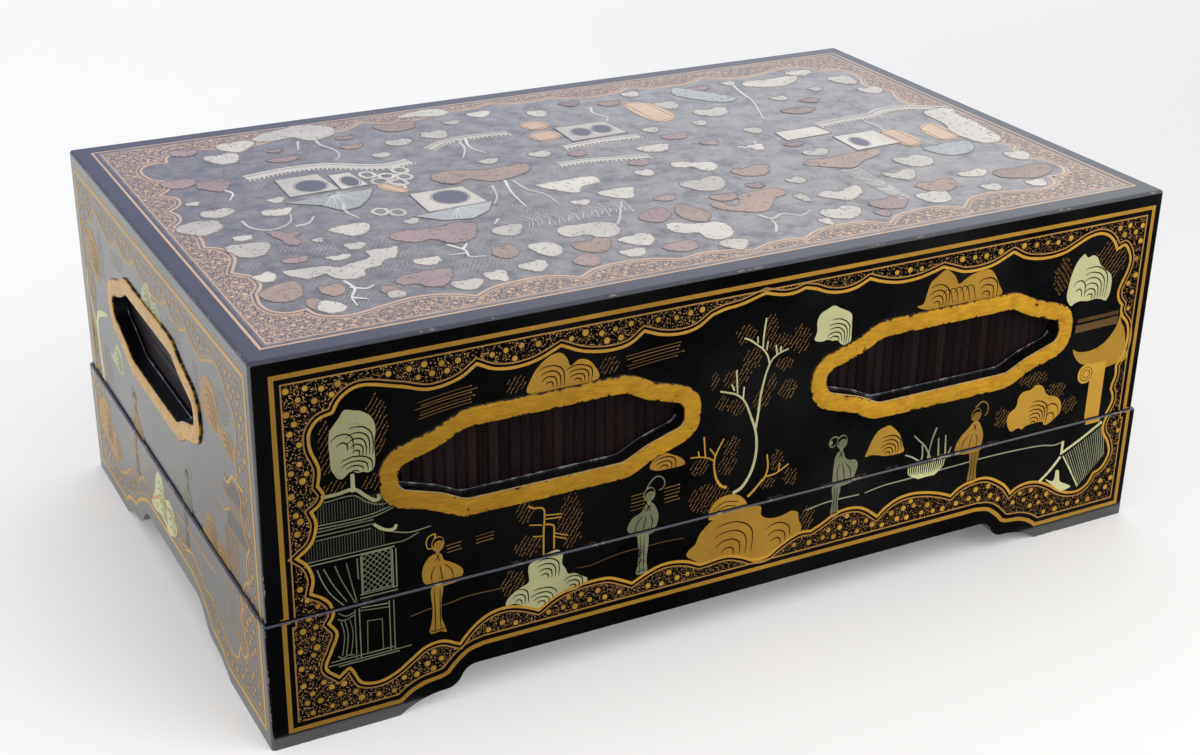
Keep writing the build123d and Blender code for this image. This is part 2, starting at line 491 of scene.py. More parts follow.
top_half = chained(
    [(35, 222.4), (28, 223), (22.6, 218.6), (21, 211.4), (22.4, 203)],
    [(27, 197), (26.4, 188), (20, 181)],
    [(25.6, 175), (25, 167), (18.6, 160)],
    [(20.4, 154), (19.4, 147), (14.6, 141)],
    [(19.4, 135), (21, 124), (19.6, 114)],
    [(25, 109.6), (27, 99), (21, 83)],
    [(26.6, 76.6), (27.2, 67), (22.6, 58)],
    [(21, 48), (22.8, 40.4), (28.4, 36.4), (35, 37)],
    [(36.8, 30.4), (42.4, 26), (50, 25), (62, 28), (76, 30.4), (88, 27.6), (97, 21.4)],
    [(106, 26.4), (119, 28.2), (132, 27), (141, 21)],
    [(150, 26.4), (163, 28), (176, 25.6), (186, 20.6)],
    [(196, 22.8), (208, 20.6), (217, 16.6)],
    [(226, 20.2), (236, 20.8), (243, 19)],
    [(252, 24), (264, 26), (276, 24.4), (285, 18.2)],
    [(294, 25), (306, 27), (316, 26), (325, 20)],
    [(334, 27.6), (345, 30.4), (358, 28), (370, 25), (378, 26), (383.2, 30.4), (385, 37)],
)


def side_scallops(name):
    """Closed scalloped line of a side, right-handed, cusps and all."""
    if name in ("front", "back"):
        return cusped_line(left_band + long_bottom + right_band + long_top)
    left = left_band + end_bottom[:2]
    top_left = end_top[1:]
    right = [mirrored(run, sheet_depth) for run in reversed(left)]
    top_right = [mirrored(run, sheet_depth) for run in reversed(top_left)]
    return cusped_line(left + end_bottom[2:] + right + top_right + end_top[:1] + top_left)


def top_scallops():
    """Closed scalloped line of the top: half of it, turned for the other half."""
    turned = [[(sheet_length - x, sheet_depth - y) for x, y in run] for run in top_half]
    return cusped_line(top_half + turned)


def border(sheet, outer, scallops, paints, dot_gap, dot, line_widths):
    """Gilt border: outer double line, speckled band with flower heads, scalloped double line."""
    speckle, broad, thin = paints
    outer_width, scallop_width, fine_width = line_widths
    fine = shifted(outer, fine_line_inset)
    lace = shifted(scallops, -lace_inset)
    sheet.band(speckle, fine, lace)
    sheet.stroke(broad, outer, outer_width, closed=True)
    sheet.stroke(thin, fine, fine_width, closed=True)
    sheet.stroke(broad, scallops, scallop_width, closed=True)
    sheet.stroke(thin, lace, fine_width, closed=True)
    edge = even_line(fine, 1.2)
    top = max(p[1] for p in outer)
    rows = int(top / dot_gap / dot_row_share) + 1
    columns = int(max(p[0] for p in outer) / dot_gap) + 1
    for row in range(rows):
        for column in range(columns):
            x = (column + 0.5 * (row % 2)) * dot_gap + sheet.shake(0.16 * dot_gap)
            z = (row + 0.3) * dot_gap * dot_row_share + sheet.shake(0.14 * dot_gap)
            if z > top or not inside((x, z), fine) or inside((x, z), lace):
                continue
            if distance_to((x, z), edge) > dot + 0.2 and distance_to((x, z), lace) > dot + 0.2:
                radius = dot * sheet.hand.uniform(0.8, 1.05)
                sheet.disc(broad, x, z, radius)
                if speckle == "speckled":
                    sheet.disc("dark_ring", x, z, radius + 0.5)


# Painted motifs


def hatch(sheet, left, right, low, high, paint="foliage", fall=0.75):
    """Foliage as short slanting ticks in rows that step down to the right, inside an oval."""
    across, tall = (right - left) / 2, (high - low) / 2
    middle = ((left + right) / 2, (low + high) / 2)
    rows = int((tall + across * abs(fall)) / tick_row_pitch) + 1
    columns = int(across / tick_pitch) + 1
    for row in range(-rows, rows + 1):
        for column in range(-columns, columns + 1):
            x = (column + 0.5 * (row % 2)) * tick_pitch + sheet.shake(0.2)
            z = row * tick_row_pitch - fall * x + sheet.shake(0.18)
            if (x / across) ** 2 + (z / tall) ** 2 > 1.1 + sheet.shake(0.25):
                continue
            x, z = middle[0] + x, middle[1] + z
            sheet.stroke(paint, [(x - 0.28, z - 0.4), (x + 0.28, z + 0.4 + sheet.shake(0.15))], 0.42, 0.3)


def lobed(sheet, paint, outline, springs):
    """Mass with nested dark arcs that spring up on the left and fall to its foot on the right."""
    outline = soft_line(outline, closed=True, step=1.1)
    sheet.fill("rock_gold" if paint == "gold" else paint, outline)
    for x, foot, across, tall, count in springs:
        for arc in range(count):
            share = (arc + 1) / count
            reach, rise = across * share, tall * share
            start = 168 - 12 * arc + sheet.shake(10)
            turns = [math.radians(start * (1 - k / 9)) for k in range(10)]
            line = [(math.cos(turn), 0.5 + 0.5 * math.sin(turn)) for turn in turns]
            line += [(1.02, 0.3), (1.0, 0.12), (0.96, -0.05)]
            runs = [[]]
            for px, pz in line:
                point = (x + reach * px + sheet.shake(0.1), foot + rise * pz + sheet.shake(0.1))
                if inside(point, outline):
                    runs[-1].append(point)
                elif runs[-1]:
                    runs.append([])
            for run in runs:
                if len(run) > 2:
                    sheet.stroke("ink", run, 0.56, swell=True)


def lines(sheet, paint, width, *runs):
    """Several even brush lines of one width."""
    for run in runs:
        sheet.line(paint, run, width)


def posts(sheet, paint, width, low, high, *places):
    """Upright lines between two heights."""
    for x in places:
        sheet.stroke(paint, even_line([(x, low), (x, high)], 4, closed=False), width)


def combed(sheet, paint, width, left, right, low, high, pitch, lean=0.0):
    """Close upright or leaning lines, as tiles or thatch."""
    for index in range(int((right - left) / pitch)):
        x = left + index * pitch
        top = high + sheet.shake(0.3)
        sheet.stroke(paint, even_line([(x, low), (x + lean, top)], 4, closed=False), width)


def cloud(sheet, paint, left, right, low, high, rise=0.0, count=6):
    """Cloud of fine level lines with dots at their ends."""
    for index in range(count):
        z = low + (high - low) * index / max(count - 1, 1)
        start = left + sheet.hand.uniform(0, 0.14) * (right - left)
        end = right - sheet.hand.uniform(0, 0.14) * (right - left)
        sheet.line(paint, [(start, z), ((start + end) / 2, z + 0.6 * rise), (end, z + rise)], 0.34)
        sheet.disc(paint, end + 0.3, z + rise, 0.4, sides=6)


def oval(x, z, across, tall, sides=14):
    ways = [math.tau * k / sides for k in range(sides)]
    return [(x + across * math.cos(way), z + tall * math.sin(way)) for way in ways]


def lady(sheet, paint, face, body, skirt, hair):
    """Standing lady in a wide-sleeved robe over a narrow skirt. Her face is a plain calm oval."""
    x, z = face
    thin = paint if paint == "rock_gold" else "thin_" + paint
    sheet.soft(thin, body)
    sheet.soft(thin, skirt)
    neck = Vector((x - 0.4, z - 3.4))
    sheet.fill(thin, [(x - 1.2, z - 4.6), (x + 0.5, z - 4.6), (x + 0.5, z - 2.4), (x - 1.1, z - 2.4)])
    for outline, count, spring in ((body, 3, 0.42), (skirt, 2, 0.0)):
        xs, zs = [p[0] for p in outline], [p[1] for p in outline]
        left, right, low, high = min(xs), max(xs), min(zs), max(zs)
        for fold in range(count):
            share = (fold + 0.9) / (count + 0.8)
            foot = Vector((left + (right - left) * share, low + 1.0 + 2.2 * spring * abs(share - 0.5)))
            start = neck.lerp(foot, spring) if spring else Vector((foot.x, high - 0.8))
            bend = Vector((4.5 * spring * (share - 0.5) * 2 + sheet.shake(0.2), 1.6 * spring))
            sheet.line("ink", [start, start.lerp(foot, 0.5) + bend, foot], 0.42, swell=True)
        if spring:
            sheet.line("ink", [(x - 1.2, z - 3.6), (x - 0.2, z - 5.4), (x + 0.5, z - 7.6)], 0.42, swell=True)
            sheet.line("ink", [(x + 0.5, z - 3.6), (x - 0.2, z - 5.2), (x - 1.6, z - 6.8)], 0.42, swell=True)
    sheet.line("ink", [(min(xs) + 0.3, min(zs) + 2), (max(xs) - 0.3, min(zs) + 2)], 0.4)
    sheet.fill(thin, oval(x - 0.2, z + 0.5, 2.7, 3.4))
    sheet.soft("ink", [(x + 2.0, z + 0.8), (x + 1.2, z + 1.7), (x - 0.4, z + 1.8), (x - 1.6, z + 1.0),
                       (x - 2.0, z - 0.8),
                       (x - 2.4, z + 0.6), (x - 2.0, z + 2.3), (x, z + 3.3), (x + 1.7, z + 2.5)], step=0.7)
    sheet.line(thin, hair, 0.7, 0.4, step=0.8)
    for eye in (-0.55, 0.95):
        sheet.stroke("ink", [(x + eye - 0.34, z + 0.2), (x + eye + 0.34, z + 0.22)], 0.22)
        sheet.line("ink", [(x + eye - 0.42, z + 0.78), (x + eye, z + 0.98), (x + eye + 0.42, z + 0.82)], 0.16)
    sheet.stroke("ink", [(x + 0.32, z - 0.1), (x + 0.42, z - 0.72)], 0.14)
    sheet.stroke("ink", [(x - 0.1, z - 1.45), (x + 0.55, z - 1.45)], 0.22)


# Face, body, skirt and hair of each lady
ladies = {
    "first": (
        (69.8, 72.4),
        [(69, 68.8), (66, 68), (64, 65.6), (63, 63), (62.8, 60), (63.5, 57), (66, 55.2), (72, 54.6),
         (78.5, 55.6), (80, 57.5), (79.5, 59.5), (77, 62), (74, 64), (71.8, 65.4), (71, 68)],
        [(66.2, 55), (66.2, 45), (65.8, 40), (64.8, 34.6), (66.5, 34), (69.5, 34.3), (71.8, 33.2), (71, 37),
         (70, 40), (70, 48), (70.6, 55)],
        [(68.4, 75.4), (68.5, 77.5), (66, 77), (64.8, 74.5), (65.8, 71.5), (67.4, 71.8)],
    ),
    "second": (
        (162.5, 71.5),
        [(161.4, 68.2), (158.5, 64.4), (155, 63), (152.8, 60), (152.5, 57.5), (154, 55.8), (157, 54.4),
         (162, 54.2), (165, 55.4), (166.4, 58), (166.8, 61), (165.5, 65.5), (163.4, 68.2)],
        [(156.9, 55), (157.2, 48), (157, 41), (156.2, 37), (157.4, 36), (159.6, 36.4), (161.4, 35.8),
         (161, 42), (161.2, 55)],
        [(161, 75), (163, 78), (165.5, 79.5), (168, 78.5), (169.3, 76), (168.5, 73.5), (166.6, 73)],
    ),
    "third": (
        (256, 74.2),
        [(254.6, 70.4), (253, 68.6), (252.4, 64), (252.2, 58), (252.6, 54.6), (258, 54.2), (262.5, 55.4),
         (264, 58), (264.8, 62), (263.5, 64.5), (260, 65.2), (257.6, 67.4), (256.8, 70.2)],
        [(251.6, 55), (252, 48), (251.4, 42), (251.8, 39.8), (253.4, 39.4), (255.2, 39.8), (255, 47),
         (255.4, 55)],
        [(253.8, 77), (251.4, 78), (249.6, 76.6), (249.4, 74.4), (250.8, 73.2), (252.4, 74)],
    ),
    "fourth": (
        (327.5, 71.5),
        [(326, 68.6), (323.5, 66), (320, 63), (317.5, 59), (317.3, 56), (320, 54.6), (326, 54.2), (331, 54.8),
         (332, 57), (332.3, 61), (330.5, 66), (328.7, 68.6)],
        [(325, 55), (325.4, 47), (324.8, 41), (325.2, 38.4), (327.4, 38), (329.6, 38.4), (329.2, 46),
         (329.6, 55)],
        [(326.5, 75.8), (330, 78), (333, 76), (333.4, 72), (332, 70.6)],
    ),
}


def summer_house(sheet, paint, fine, dim):
    """Two-storey garden house in fine lines: swept ridges, tiled roofs, curtain, lattice and door."""
    lines(sheet, paint, 1.4, [(24, 104), (30, 104), (37, 104.5), (41, 101), (45, 98), (46.8, 98.6),
                              (46.5, 100.3)])
    lines(
        sheet, fine, 0.46,
        [(25, 101.7), (37, 101.8), (41, 98.5), (46, 96), (50, 95.5)],
        [(22, 92.6), (44, 92.6), (53, 94.7)], [(22, 91.3), (44, 91.3), (53, 93.5)],
        [(21, 90), (44, 90)], [(21, 88.3), (44, 88.3)], [(21, 86.5), (43, 86.5)],
        [(50, 83.5), (58, 81), (67, 81.5)], [(16, 78), (50, 78), (56, 78), (62, 80)], [(16, 76.5),
                                                                                       (52, 76.5)],
        [(21, 74), (23, 68), (26, 62), (31, 55.8)], [(23.5, 74), (27, 66), (32, 57.5)],
        [(28, 74), (30, 68), (35.5, 55.5)], [(32.5, 74), (34, 66), (36, 56)], [(36.8, 75), (37, 66)],
        [(37.4, 58.8), (52.6, 58.8)], [(37.4, 57.3), (52.6, 57.3)],
        [(28, 54), (31, 52), (35, 53)], [(27.5, 51.5), (30, 50.3), (34, 51.5)],
        [(27, 35), (29, 33.5), (31, 34.5), (33.6, 33.8)],
        [(37, 54), (48.5, 53)], [(36.5, 52.8), (48.5, 51.3)],
        [(24, 33), (50, 33)], [(23, 31.5), (57, 31.5)], [(27, 30.4), (52, 30.4)],
    )
    lines(sheet, paint, 1.2, [(44, 88), (47, 85.4), (50, 84), (52.4, 84.2), (53, 85.7)])
    combed(sheet, dim, 0.34, 22.5, 49, 93.2, 101, 1.1)
    combed(sheet, dim, 0.3, 17, 50, 78.6, 86, 1.1)
    posts(sheet, fine, 0.46, 58.5, 75.5, 38.3, 51, 52.4)
    posts(sheet, fine, 0.46, 31.6, 54, 34.5, 36.3, 48.5, 50.3)
    for fold in (29.5, 31, 33):
        sheet.line(fine, [(fold - 0.6, 50), (fold + 0.4, 44), (fold - 0.2, 38), (fold - 0.8, 34.6)], 0.36)
    lattice(sheet, fine, 38.8, 50.4, 59.6, 76, 2.5)
    door = [(39, 32.8), (45.4, 32.8), (45.4, 46.8), (39.4, 47.5)]
    sheet.stroke(fine, even_line(door, 4), 0.36, closed=True)


def lattice(sheet, paint, left, right, low, high, gap):
    """Diamond lattice in its frame."""
    width, height = right - left, high - low
    sheet.stroke(paint, [(left, low), (right, low), (right, high), (left, high)], 0.4, closed=True)
    for index in range(1, int((width + height) / gap)):
        offset = index * gap - height
        start = (max(offset, 0), max(-offset, 0))
        end = (min(width, offset + height), min(height, width - offset))
        for flip in (False, True):
            run = [(right - px if flip else left + px, low + pz) for px, pz in (start, end)]
            sheet.stroke(paint, run, 0.28)


def tall_crown(sheet, paint):
    lobed(
        sheet, paint,
        [(34.5, 137.5), (38.5, 136.5), (40.5, 136), (44.5, 133), (46, 129.5), (46.2, 126.5), (45.5, 122),
         (45.5, 113.5), (44.5, 111), (42.5, 110.3), (41, 111), (38.5, 111), (37, 112), (35.5, 112),
         (34, 110.8), (32.5, 109.8), (31, 110.2),
         (29.5, 112.5), (28.4, 115), (28.2, 120), (28, 124), (28.6, 130), (30, 132), (32.5, 135)],
        [(38.4, 118, 6.6, 12, 5), (33, 121, 4.4, 7, 2), (37.4, 110.4, 7, 7.6, 4)],
    )
    posts(sheet, paint, 1.6, 103.5, 111, 36.5)


def low_crown(sheet, paint):
    lobed(
        sheet, paint,
        [(238, 125.5), (239, 129), (238.8, 134), (240.5, 137), (243.5, 138.3), (246.5, 139.3), (250, 137.5),
         (255.5, 134), (256, 130), (256.2, 124.5), (256, 121.5), (253.5, 120.3), (251, 121.5), (249.5, 123.3),
         (247, 123.5),
         (244.5, 124.5), (241.5, 124.2)],
        [(247.6, 121.6, 7.6, 11.4, 6)],
    )


def wide_crown(sheet, paint):
    lobed(
        sheet, paint,
        [(371, 120), (371.5, 127), (373, 133), (375.5, 137.5), (378.5, 139.5), (380, 137.5), (383.5, 138),
         (386, 136.5), (388, 133), (392, 129.5), (395, 127), (396, 124), (396, 119), (395.5, 116.5),
         (394, 114.5), (392, 115.5),
         (388, 116.5), (383, 116.3), (379, 117), (376, 116.5), (374, 115.5), (372.5, 117)],
        [(384, 117, 9.4, 15.4, 6), (377.4, 119, 3.6, 8, 2)],
    )


def crag(sheet, paint):
    """Two rocks that stand on the upper edge of a frame."""
    lobed(
        sheet, paint,
        [(107.6, 129.2), (109, 134), (112, 138.6), (117, 142.4), (121.6, 143), (124.6, 140), (126, 136.6),
         (129.4, 138.6), (133.6, 137.6), (136.8, 134), (138.4, 129.2), (122, 128.2)],
        [(117, 129.4, 6.4, 9, 4), (129, 129, 6.4, 7.4, 4)],
    )


def bank(sheet, paint):
    """Low rock with scaled and fanned lobes, cut by the seam."""
    lobed(
        sheet, paint,
        [(97.5, 38), (98, 40.5), (101, 43), (105, 45), (107.5, 46), (107.3, 52), (107.8, 54), (112, 55.7),
         (116, 56.3), (120, 57.2), (122.5, 55.8), (122.3, 51), (124, 48), (125, 45.5), (128, 45), (131, 43),
         (133.8, 41), (133, 39),
         (129, 37.5), (124, 37), (120, 36.8), (116, 34), (112, 32.8), (109, 33), (105, 36), (101, 38)],
        [(114.6, 46, 6.4, 9, 4), (103, 37, 4.4, 7, 3), (113, 34, 7, 8, 4), (127, 38, 4.6, 6, 3)],
    )


def front_scene(sheet):
    """Garden of a long side, from left to right."""
    pale, gold = "pale", "gold"
    tall_crown(sheet, pale)
    hatch(sheet, 42, 51, 117, 141)
    hatch(sheet, 24, 29, 112, 136)
    hatch(sheet, 24, 34, 105, 109.4)
    hatch(sheet, 40, 50, 103, 109)
    summer_house(sheet, pale, "pale_line", "grey_line")
    cloud(sheet, "haze", 61, 87, 127.5, 134.3, 2.6)
    lady(sheet, "rock_gold", *ladies["first"])
    cloud(sheet, "haze", 73, 79, 68, 71, 0.4, 3)
    cloud(sheet, "haze", 85, 93, 69, 72, 0.4, 3)
    lines(sheet, "dim_gold", 0.5, [(57, 44.5), (64, 45.6), (73, 46), (80, 47), (99, 46.5)])
    crag(sheet, gold)
    hatch(sheet, 99, 107, 130, 137)
    hatch(sheet, 139, 147, 130, 137)

    lines(
        sheet, gold, 0.75,
        [(114.7, 55.6), (114.7, 66), (114.7, 77), (113, 78), (110, 78.5), (108, 80)],
        [(119.3, 58), (119.3, 64), (119, 68.6), (115.4, 70)],
    )
    lines(
        sheet, gold, 0.5,
        [(108.5, 71.3), (114, 70)], [(110, 65.7), (114.5, 64.8)], [(115.5, 74), (122.5, 73)], [(115.5, 72.3),
                                                                                               (122.5, 71.5)],
        [(119.5, 65), (125.5, 62.5)], [(119.5, 63.4), (125, 61)],
    )
    hatch(sheet, 121, 132, 57, 80)
    hatch(sheet, 102, 113, 57, 66)
    hatch(sheet, 103, 111, 73, 84)
    hatch(sheet, 96, 106, 40, 53)
    bank(sheet, pale)
    lady(sheet, pale, *ladies["second"])
    for left, right in ((153, 160), (168.6, 176)):
        cloud(sheet, "haze", left, right, 66.4, 73, 0.3, 5)
    cloud(sheet, "haze", 150, 176, 130, 135.6, 1.6, 5)
    small_rock = [(162, 84), (163, 86.5), (166, 88.8), (169.5, 89.3), (172, 88), (175, 86.5), (177.5, 84.5),
                  (178.5, 82.3), (172, 81.8), (165, 82.3)]
    lobed(sheet, gold, small_rock, [(168.6, 82, 5.4, 5.6, 3)])
    lines(sheet, "dim_gold", 0.5, [(129, 47), (135, 46.6), (142, 47.8), (150, 48.8), (160, 48.8), (170, 48.8),
                                   (178.5, 48.2)])

    for left, right, low, high in (
        (189, 193, 113, 121), (195, 208, 112, 120), (192, 198, 103, 109), (198, 206, 99, 106),
        (210, 218, 99, 108),
        (216, 221, 106, 114), (222, 231, 102, 110), (220, 228, 115, 121), (204, 213, 119, 128),
        (200, 210, 130, 138),
        (213, 220, 130, 141), (216, 226, 124, 132), (226, 236, 122, 133), (181, 190, 75, 83),
        (194, 203, 73, 81),
        (197, 204, 81, 89), (181, 200, 57, 70), (220, 226, 69, 78), (215, 222, 61, 67), (227, 234, 60, 68.5),
    ):
        hatch(sheet, left, right, low, high)
    sheet.line(pale, [(202, 63), (206, 64.5), (209.5, 69), (211.5, 74), (212.5, 80), (212.3, 86), (211.3, 91),
                      (209, 97), (206.5, 103), (204.5, 106), (201.5, 108.5), (198, 110),
                      (193.7, 111.5)], 1.5, 0.7)
    sheet.line(pale, [(211.6, 91), (212.5, 98), (213, 104), (214, 110), (215.5, 116), (216.7, 119)], 1.1, 0.8)
    lines(
        sheet, pale, 0.7,
        [(204.8, 106), (205, 111.3)], [(202, 109), (201, 119.5)], [(200.5, 110.5), (199, 113.5)],
        [(216.7, 119), (215.5, 123), (213, 126.5), (210, 129), (207, 131.5), (204, 133)],
        [(213, 127), (213.2, 133), (214, 140)], [(210.5, 129.5), (210.3, 132.5)], [(214.8, 125.5),
                                                                                   (215.3, 129.5)],
        [(216.7, 119), (218, 121), (221, 123), (225.5, 124.2)], [(220, 122.5), (219.3, 127)], [(221.7, 123.7),
                                                                                               (221.7, 126)],
    )
    sheet.line(gold, [(199, 66.5), (196.5, 67.5), (194, 71), (192.8, 75), (192.3, 79), (192.8, 82.5),
                      (194.5, 86), (196.5, 89.5)], 1.2, 0.6)
    sheet.line(gold, [(209.5, 59.5), (212, 61.5), (215, 64.5), (217.5, 67), (218.7, 71),
                      (218, 77.5)], 1.2, 0.6)
    lines(
        sheet, gold, 0.65,
        [(192.3, 80.3), (189, 82.5), (185, 83.7), (181, 84.2)], [(188, 83), (187, 92.5)], [(185, 84),
                                                                                           (184.5, 86.5)],
        [(192.5, 83), (190, 86.5)], [(218, 67), (223, 67.5), (229, 70.5)], [(224, 68), (224.6, 72)],
    )
    sheet.soft(gold, [(190, 54), (191, 56.6), (192, 59), (195, 61.7), (199, 62.6), (203, 62.3), (207, 59.7),
                      (209.5, 55.8), (209, 54)])
    lobed(
        sheet, gold,
        [(180, 39.5), (181, 41.5), (184, 43.5), (186, 48), (188, 50), (191, 52.5), (196, 54), (206, 55),
         (215.5, 54), (215.8, 50), (218, 48), (222, 46.8), (227, 47), (231, 48), (234.5, 46.5), (235, 43),
         (236.5, 40), (236.5, 37),
         (231, 34.5), (226, 33), (222, 30), (219, 27.8), (213, 27.5), (211, 29.5), (206, 32), (200, 33.8),
         (193, 34),
         (188, 33), (184, 36), (181, 38)],
        [(200, 34, 12, 16, 4), (224, 33, 7, 11, 3)],
    )
    lines(sheet, "ink", 0.4, [(193, 57), (198, 59.6), (205, 58.4)], [(194, 55.6), (199, 57.6), (204, 56.4)])

    low_crown(sheet, pale)
    lady(sheet, pale, *ladies["third"])
    sheet.soft("thin_pale", oval(250.2, 75.4, 0.7, 1.1, 8))
    hatch(sheet, 235, 243, 36, 48)
    lines(
        sheet, "pale_line", 0.6,
        [(238.5, 46.5), (250, 47.8), (266, 47.5)], [(269, 47.5), (278, 48.8), (291, 49), (313, 49.5)],
        [(313, 49.5), (341, 49.8), (366, 48.5), (374, 47), (378, 47.5)],
    )
    lobed(
        sheet, gold,
        [(268.5, 64.5), (269.5, 67.5), (271, 71), (274, 75.5), (278, 77), (280, 77.3), (283, 75), (286, 71.5),
         (288, 66), (289, 62.8), (279, 62.7), (275, 64), (271, 64.8)],
        [(280, 62.6, 7, 9.6, 5)],
    )
    lobed(
        sheet, gold,
        [(289, 131), (292, 131.5), (293.5, 136), (295, 140.5), (298, 142.8), (302.5, 145.3), (305, 144),
         (308, 141), (310, 137.5), (313, 139), (318, 141), (326, 141.3), (329, 138.5), (332, 133), (334, 129),
         (320, 127.8),
         (305, 128.4), (294, 128.6)],
        [(299, 129, 6.4, 10, 4), (325, 128.6, 6, 9, 3)],
    )
    for x in (306, 309, 312, 315, 318):
        sheet.line("ink", [(x - 4, 133.6), (x - 2.6, 136), (x - 0.4, 135.4),
                           (x + 1.6, 129)], 0.42, swell=True)
    for blade in (
        [(290, 60.5), (294, 58.5), (298, 55.6)], [(294, 69), (297, 66), (300, 63), (303, 58), (304, 55.6)],
        [(298.8, 63.5), (299.4, 59), (299, 55.6)], [(303, 60), (304, 65), (306, 70.5)], [(307.5, 65),
                                                                                         (308.3, 55.6)],
        [(311.3, 65.5), (312, 55.6)], [(315, 59), (313.5, 55.6)], [(303, 60), (302.4, 55.6)],
    ):
        sheet.line("pale_line", blade, 0.6, 0.9)
    for blade in range(17):
        x = 292 + blade * 1.15
        sheet.line(pale, [(302 + (x - 302) * 0.45, 47.8), (x - 0.3, 51.4),
                          (x + 0.5 * (x - 302) / 10, 54.6)], 0.6, 0.4)
    lady(sheet, gold, *ladies["fourth"])
    lobed(
        sheet, gold,
        [(345, 65.5), (346, 68.5), (349.5, 71), (350.3, 75.5), (352.5, 77.8), (356.5, 78), (360, 79.8),
         (363.5, 78.5), (366, 74.5), (367.5, 73), (371, 72), (374.5, 69.5), (376, 66), (375.5, 62.5),
         (372.5, 60.2), (369.5, 58.3),
         (367, 58.3), (366.3, 60), (356, 60), (354.5, 58.8), (352, 60), (348.5, 59), (346.5, 61)],
        [(360.4, 59.6, 7.6, 12, 6), (370, 59.4, 4.4, 9, 2)],
    )
    for left, right, low, high in ((338, 346, 62, 72), (350, 366, 80, 86), (367, 377, 71, 79),
                                   (376, 385, 62, 70)):
        hatch(sheet, left, right, low, high, "haze")
    wide_crown(sheet, pale)
    hatch(sheet, 363, 372, 123, 139, "haze", fall=-1.0)
    hatch(sheet, 385, 403, 126, 143, "haze", fall=1.0)
    sheet.stroke("dim_gold", even_line([(378.6, 103.2), (403, 103.6)], 4, closed=False), 3.8)
    sheet.stroke("dim_gold", even_line([(379.4, 107.1), (403, 107.3)], 4, closed=False), 1.8)
    gate(sheet, gold)
    gable(sheet, pale)


def gate(sheet, paint):
    """Solid gate post under a small horned roof with a scroll."""
    sheet.fill(paint, even_line([(391, 53.6), (399.5, 53.6), (399.5, 84), (391, 84)], 4))
    lobed(
        sheet, paint,
        [(378.5, 93.5), (381, 92), (385, 91), (390, 91), (396, 93), (400.6, 97), (403.2, 101.6),
         (404.2, 106.4), (405.3, 102), (407.4, 99), (409, 94), (410.4, 88), (411.6, 84.6), (411, 82.4),
         (403, 81), (398, 80.4), (388, 84), (384, 85.5),
         (381, 88.5), (379, 92)],
        [],
    )
    sheet.soft(paint, oval(388.2, 79.6, 4.7, 4.9, 10))
    for turn in (3.5, 2.0):
        sheet.stroke("ink", [Vector(p) for p in oval(388.4, 79.5, turn, turn, 12)], 0.3, closed=True)


def gable(sheet, paint):
    """Thatched gable at the foot, drawn in slanting lines."""
    posts(sheet, paint, 1.4, 41, 48, 378.8)
    lines(
        sheet, paint, 1.4,
        [(379.5, 42), (390, 47), (401, 53)], [(378.5, 40), (373, 34), (367.5, 29.5)],
    )
    lines(sheet, paint, 0.7, [(377, 38), (370, 31)], [(380, 40), (385, 32), (391, 22)])
    for index in range(19):
        t = index / 18
        start = (381.4 + 20.6 * t, 40.6 + 10.6 * t)
        end = (391 + 14 * t, 21 + 14 * t)
        sheet.stroke("pale_line", even_line([start, end], 4, closed=False), 0.36)
    sheet.soft(paint, [(371, 30), (376, 28), (377, 33.5), (378.5, 33), (380, 27), (384, 24.5), (387, 22.5),
                       (381.5, 21.5), (376, 25.5)])


